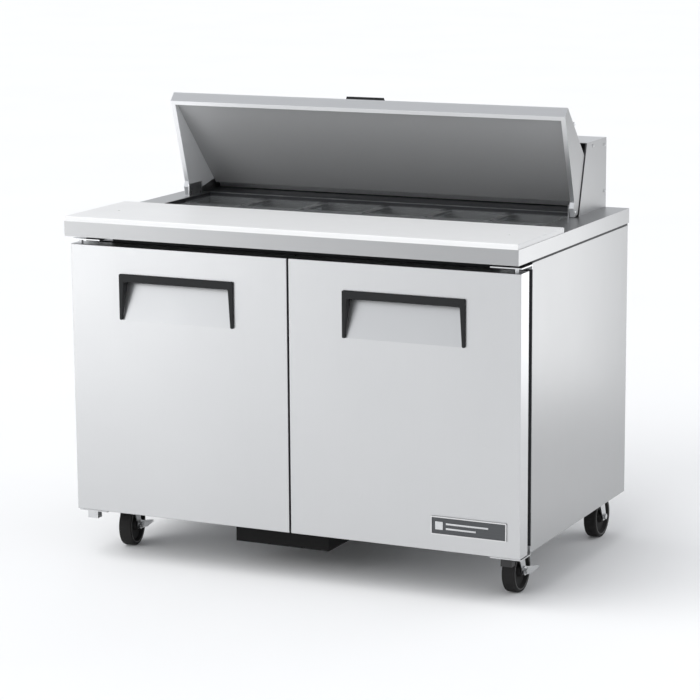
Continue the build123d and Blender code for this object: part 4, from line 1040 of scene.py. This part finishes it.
# %% Races, bolts and tyre lines
casters = {
    "front_left": (-0.539, -0.255, 9.0),
    "front_right": (0.539, -0.255, 0.0),
    "rear_left": (-0.539, 0.316, 0.0),
    "rear_right": (0.539, 0.316, 0.0),
}
bolt_r = 0.0055
bolt_height = 0.004
deselect()
bpy.ops.mesh.primitive_cylinder_add(
    vertices=6, radius=bolt_r, depth=bolt_height, location=(0.0, 0.0, bolt_height / 2))
bolt = settle(bpy.context.object)
edit(bolt, "EDGE", lambda place, way: place.z > bolt_height * 0.9)
bpy.ops.mesh.bevel(offset=0.0006, segments=2, affect="EDGES")
settle(bolt)

race_r, race_wire_r = 0.026, 0.0024
race_drop = 0.0035
bolt_x, bolt_y = 0.0225, 0.0325
plate_thickness = 0.003
plate_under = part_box("caster_plates")[1].z - plate_thickness
race_parts, bolt_parts = [], []
for x, y, _ in casters.values():
    deselect()
    bpy.ops.mesh.primitive_torus_add(
        major_radius=race_r, minor_radius=race_wire_r, major_segments=48, minor_segments=10,
        location=(x, y, plate_under - race_drop))
    race_parts.append(settle(bpy.context.object))
    for side in (-1, 1):
        for end in (-1, 1):
            place = (x + side * bolt_x, y + end * bolt_y, plate_under)
            bolt_parts.append(copy_at(bolt, place, (0.0, 0.0, -1.0)))
complete(race_parts, "caster_races", bright_plate, "cabinet", 60.0)
complete(bolt_parts, "caster_bolts", zinc_plate, "cabinet")

line_ring_r, line_wire_r = 0.0472, 0.0009
line_offset = 0.0162
for name, (_, _, heading) in casters.items():
    low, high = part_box(name + "_wheel")
    turn = math.radians(heading)
    axle = Vector((math.cos(turn), math.sin(turn), 0.0))
    lines = []
    for side in (-1, 1):
        deselect()
        bpy.ops.mesh.primitive_torus_add(
            major_radius=line_ring_r, minor_radius=line_wire_r, major_segments=64, minor_segments=8)
        ring = bpy.context.object
        ring.rotation_euler = turn_to(axle)
        ring.location = (low + high) / 2 + axle * side * line_offset
        lines.append(settle(ring))
    complete(lines, name + "_tyre_lines", tyre_line, name + "_wheel", 60.0)

# %% [markdown]
# ## Emblem on the door plate
# The plate on the right door carries a plain square emblem and two bars. The square's face is inset and
# pushed in, which leaves a frame, and the bars are low rounded strips. None stands past the bright rim.

# %% Emblem and bars
rim_front = badge_low.y
mark_back = rim_front + 0.0012
mark_z = (badge_low.z + badge_high.z) / 2
emblem_half = 0.010
emblem_x = badge_low.x + 0.022
emblem = bar(
    (emblem_x - emblem_half, rim_front + 0.0001, mark_z - emblem_half),
    (emblem_x + emblem_half, mark_back, mark_z + emblem_half), 0.0003)
edit(emblem, "FACE", lambda place, way: way.y < -0.95 and place.y < rim_front + 0.0002)
bpy.ops.mesh.inset(thickness=0.0032, depth=-0.0007)
settle(emblem)
bar_from = 0.040
bar_half = 0.0022
bars = [emblem]
for bar_to, rise in ((0.150, 0.0055), (0.118, -0.0065)):
    bars.append(bar(
        (badge_low.x + bar_from, rim_front + 0.0002, mark_z + rise - bar_half),
        (badge_low.x + bar_to, mark_back, mark_z + rise + bar_half), 0.0004))
complete(bars, "plate_emblem", emblem_metal, "right_door")

# %% [markdown]
# ## Mains outlet on the back
# The mains lead leaves through a gland with a ribbed nut. Three rings stand for the nut's ribs and the
# rubber lip. Each has a radius, a distance behind the sheet and a wire radius.

# %% Gland rings
gland_place = Vector((0.501, sheet_back, 0.5362))
gland_rings = ((0.0162, 0.0015, 0.0018), (0.0148, 0.0055, 0.0011), (0.0146, 0.0082, 0.0010))
rings = []
for radius, behind, thickness in gland_rings:
    deselect()
    bpy.ops.mesh.primitive_torus_add(
        major_radius=radius, minor_radius=thickness, major_segments=40, minor_segments=8,
        location=gland_place + Vector((0.0, behind, 0.0)), rotation=(math.pi / 2, 0.0, 0.0))
    rings.append(settle(bpy.context.object))
complete(rings, "mains_gland_rings", gasket_rubber, "cabinet", 60.0)

# %% [markdown]
# ## Rubber buffers
# Two buffers keep the back off the wall. Each is a short cone with a bevelled rim, and its end is inset
# and pushed in for its screw. The patterns are then removed.

# %% Two buffers
buffer_length = 0.018
buffer_x, buffer_z = 0.50, 0.79
deselect()
bpy.ops.mesh.primitive_cone_add(
    vertices=32, radius1=0.016, radius2=0.012, depth=buffer_length,
    location=(0.0, 0.0, buffer_length / 2))
buffer = settle(bpy.context.object)
edit(buffer, "EDGE", lambda place, way: place.z > buffer_length * 0.99 and abs(way.z) < 0.1)
bpy.ops.mesh.bevel(offset=0.003, segments=3, affect="EDGES")
settle(buffer)
edit(buffer, "FACE", lambda place, way: way.z > 0.95)
bpy.ops.mesh.inset(thickness=0.0035, depth=-0.004)
settle(buffer)
buffers = [copy_at(buffer, (x, sheet_back, buffer_z), back_way) for x in (-buffer_x, buffer_x)]
complete(buffers, "rear_buffers", bumper_rubber, "cabinet")

for pattern in (screw, rivet, bolt, buffer):
    bpy.data.objects.remove(pattern)

# %% [markdown]
# ## Floor and light
# The floor is one pale sheet that runs far past the view, so no horizon shows. Metal shows what stands
# around it, so the light is a sky that is brightest low down, a broad sun that leaves no glint, and a
# soft lamp on each side, which gives the doors and the side a slow change of tone.

# %% The floor
floor_size = 60.0
deselect()
bpy.ops.mesh.primitive_plane_add(size=floor_size, location=(0.0, 0.0, 0.0))
floor = bpy.context.object
floor.name = "floor"
floor_paint = Finish("floor_paint", Specular_IOR_Level=0.1)
floor_haze = floor_paint.noise(1.2, detail=3.0)
floor_paint.drive("Base Color", floor_paint.colours(floor_haze, grey(0.84), grey(0.87)))
floor_paint.drive("Roughness", 0.75 + floor_haze * 0.15)
floor.data.materials.append(floor_paint.material)
print("floor:", floor_size, "m wide")

# %% Lamps and sky
def add_lamp(name, kind, place, target, strength):
    """A lamp that faces its target."""
    data = bpy.data.lights.new(name, kind)
    data.energy = strength
    lamp = bpy.data.objects.new(name, data)
    bpy.context.scene.collection.objects.link(lamp)
    direction = Vector(target) - Vector(place)
    lamp.rotation_euler = direction.to_track_quat("-Z", "Y").to_euler()
    lamp.location = place
    return lamp


sun = add_lamp("broad_sun", "SUN", (-2.2, -3.0, 5.0), (0.0, 0.0, 0.6), 2.05)
sun.data.angle = math.radians(70.0)
sun.visible_glossy = False
left_panel = add_lamp("left_panel", "AREA", (-2.7, -2.9, 0.9), (-0.6, -0.4, 0.5), 16.0)
right_panel = add_lamp("right_panel", "AREA", (1.3, 0.8, 0.6), (0.6, -0.3, 0.5), 2.0)
for panel, width in ((left_panel, 2.0), (right_panel, 0.7)):
    panel.data.size = width
    panel.visible_camera = False

world = bpy.data.worlds.new("studio")
bpy.context.scene.world = world
world.use_nodes = True
tree = world.node_tree
background = tree.nodes["Background"]
direction = tree.nodes.new("ShaderNodeTexCoord")
parts = tree.nodes.new("ShaderNodeSeparateXYZ")
sky = tree.nodes.new("ShaderNodeValToRGB")
sky.color_ramp.elements[0].position = 0.05
sky.color_ramp.elements[0].color = (0.93, 0.95, 0.98, 1.0)
sky.color_ramp.elements[1].position = 0.95
sky.color_ramp.elements[1].color = (0.50, 0.51, 0.53, 1.0)
tree.links.new(direction.outputs["Generated"], parts.inputs[0])
tree.links.new(parts.outputs["Z"], sky.inputs["Fac"])
tree.links.new(sky.outputs["Color"], background.inputs["Color"])
background.inputs["Strength"].default_value = 1.05
bpy.context.scene.view_settings.view_transform = "Standard"
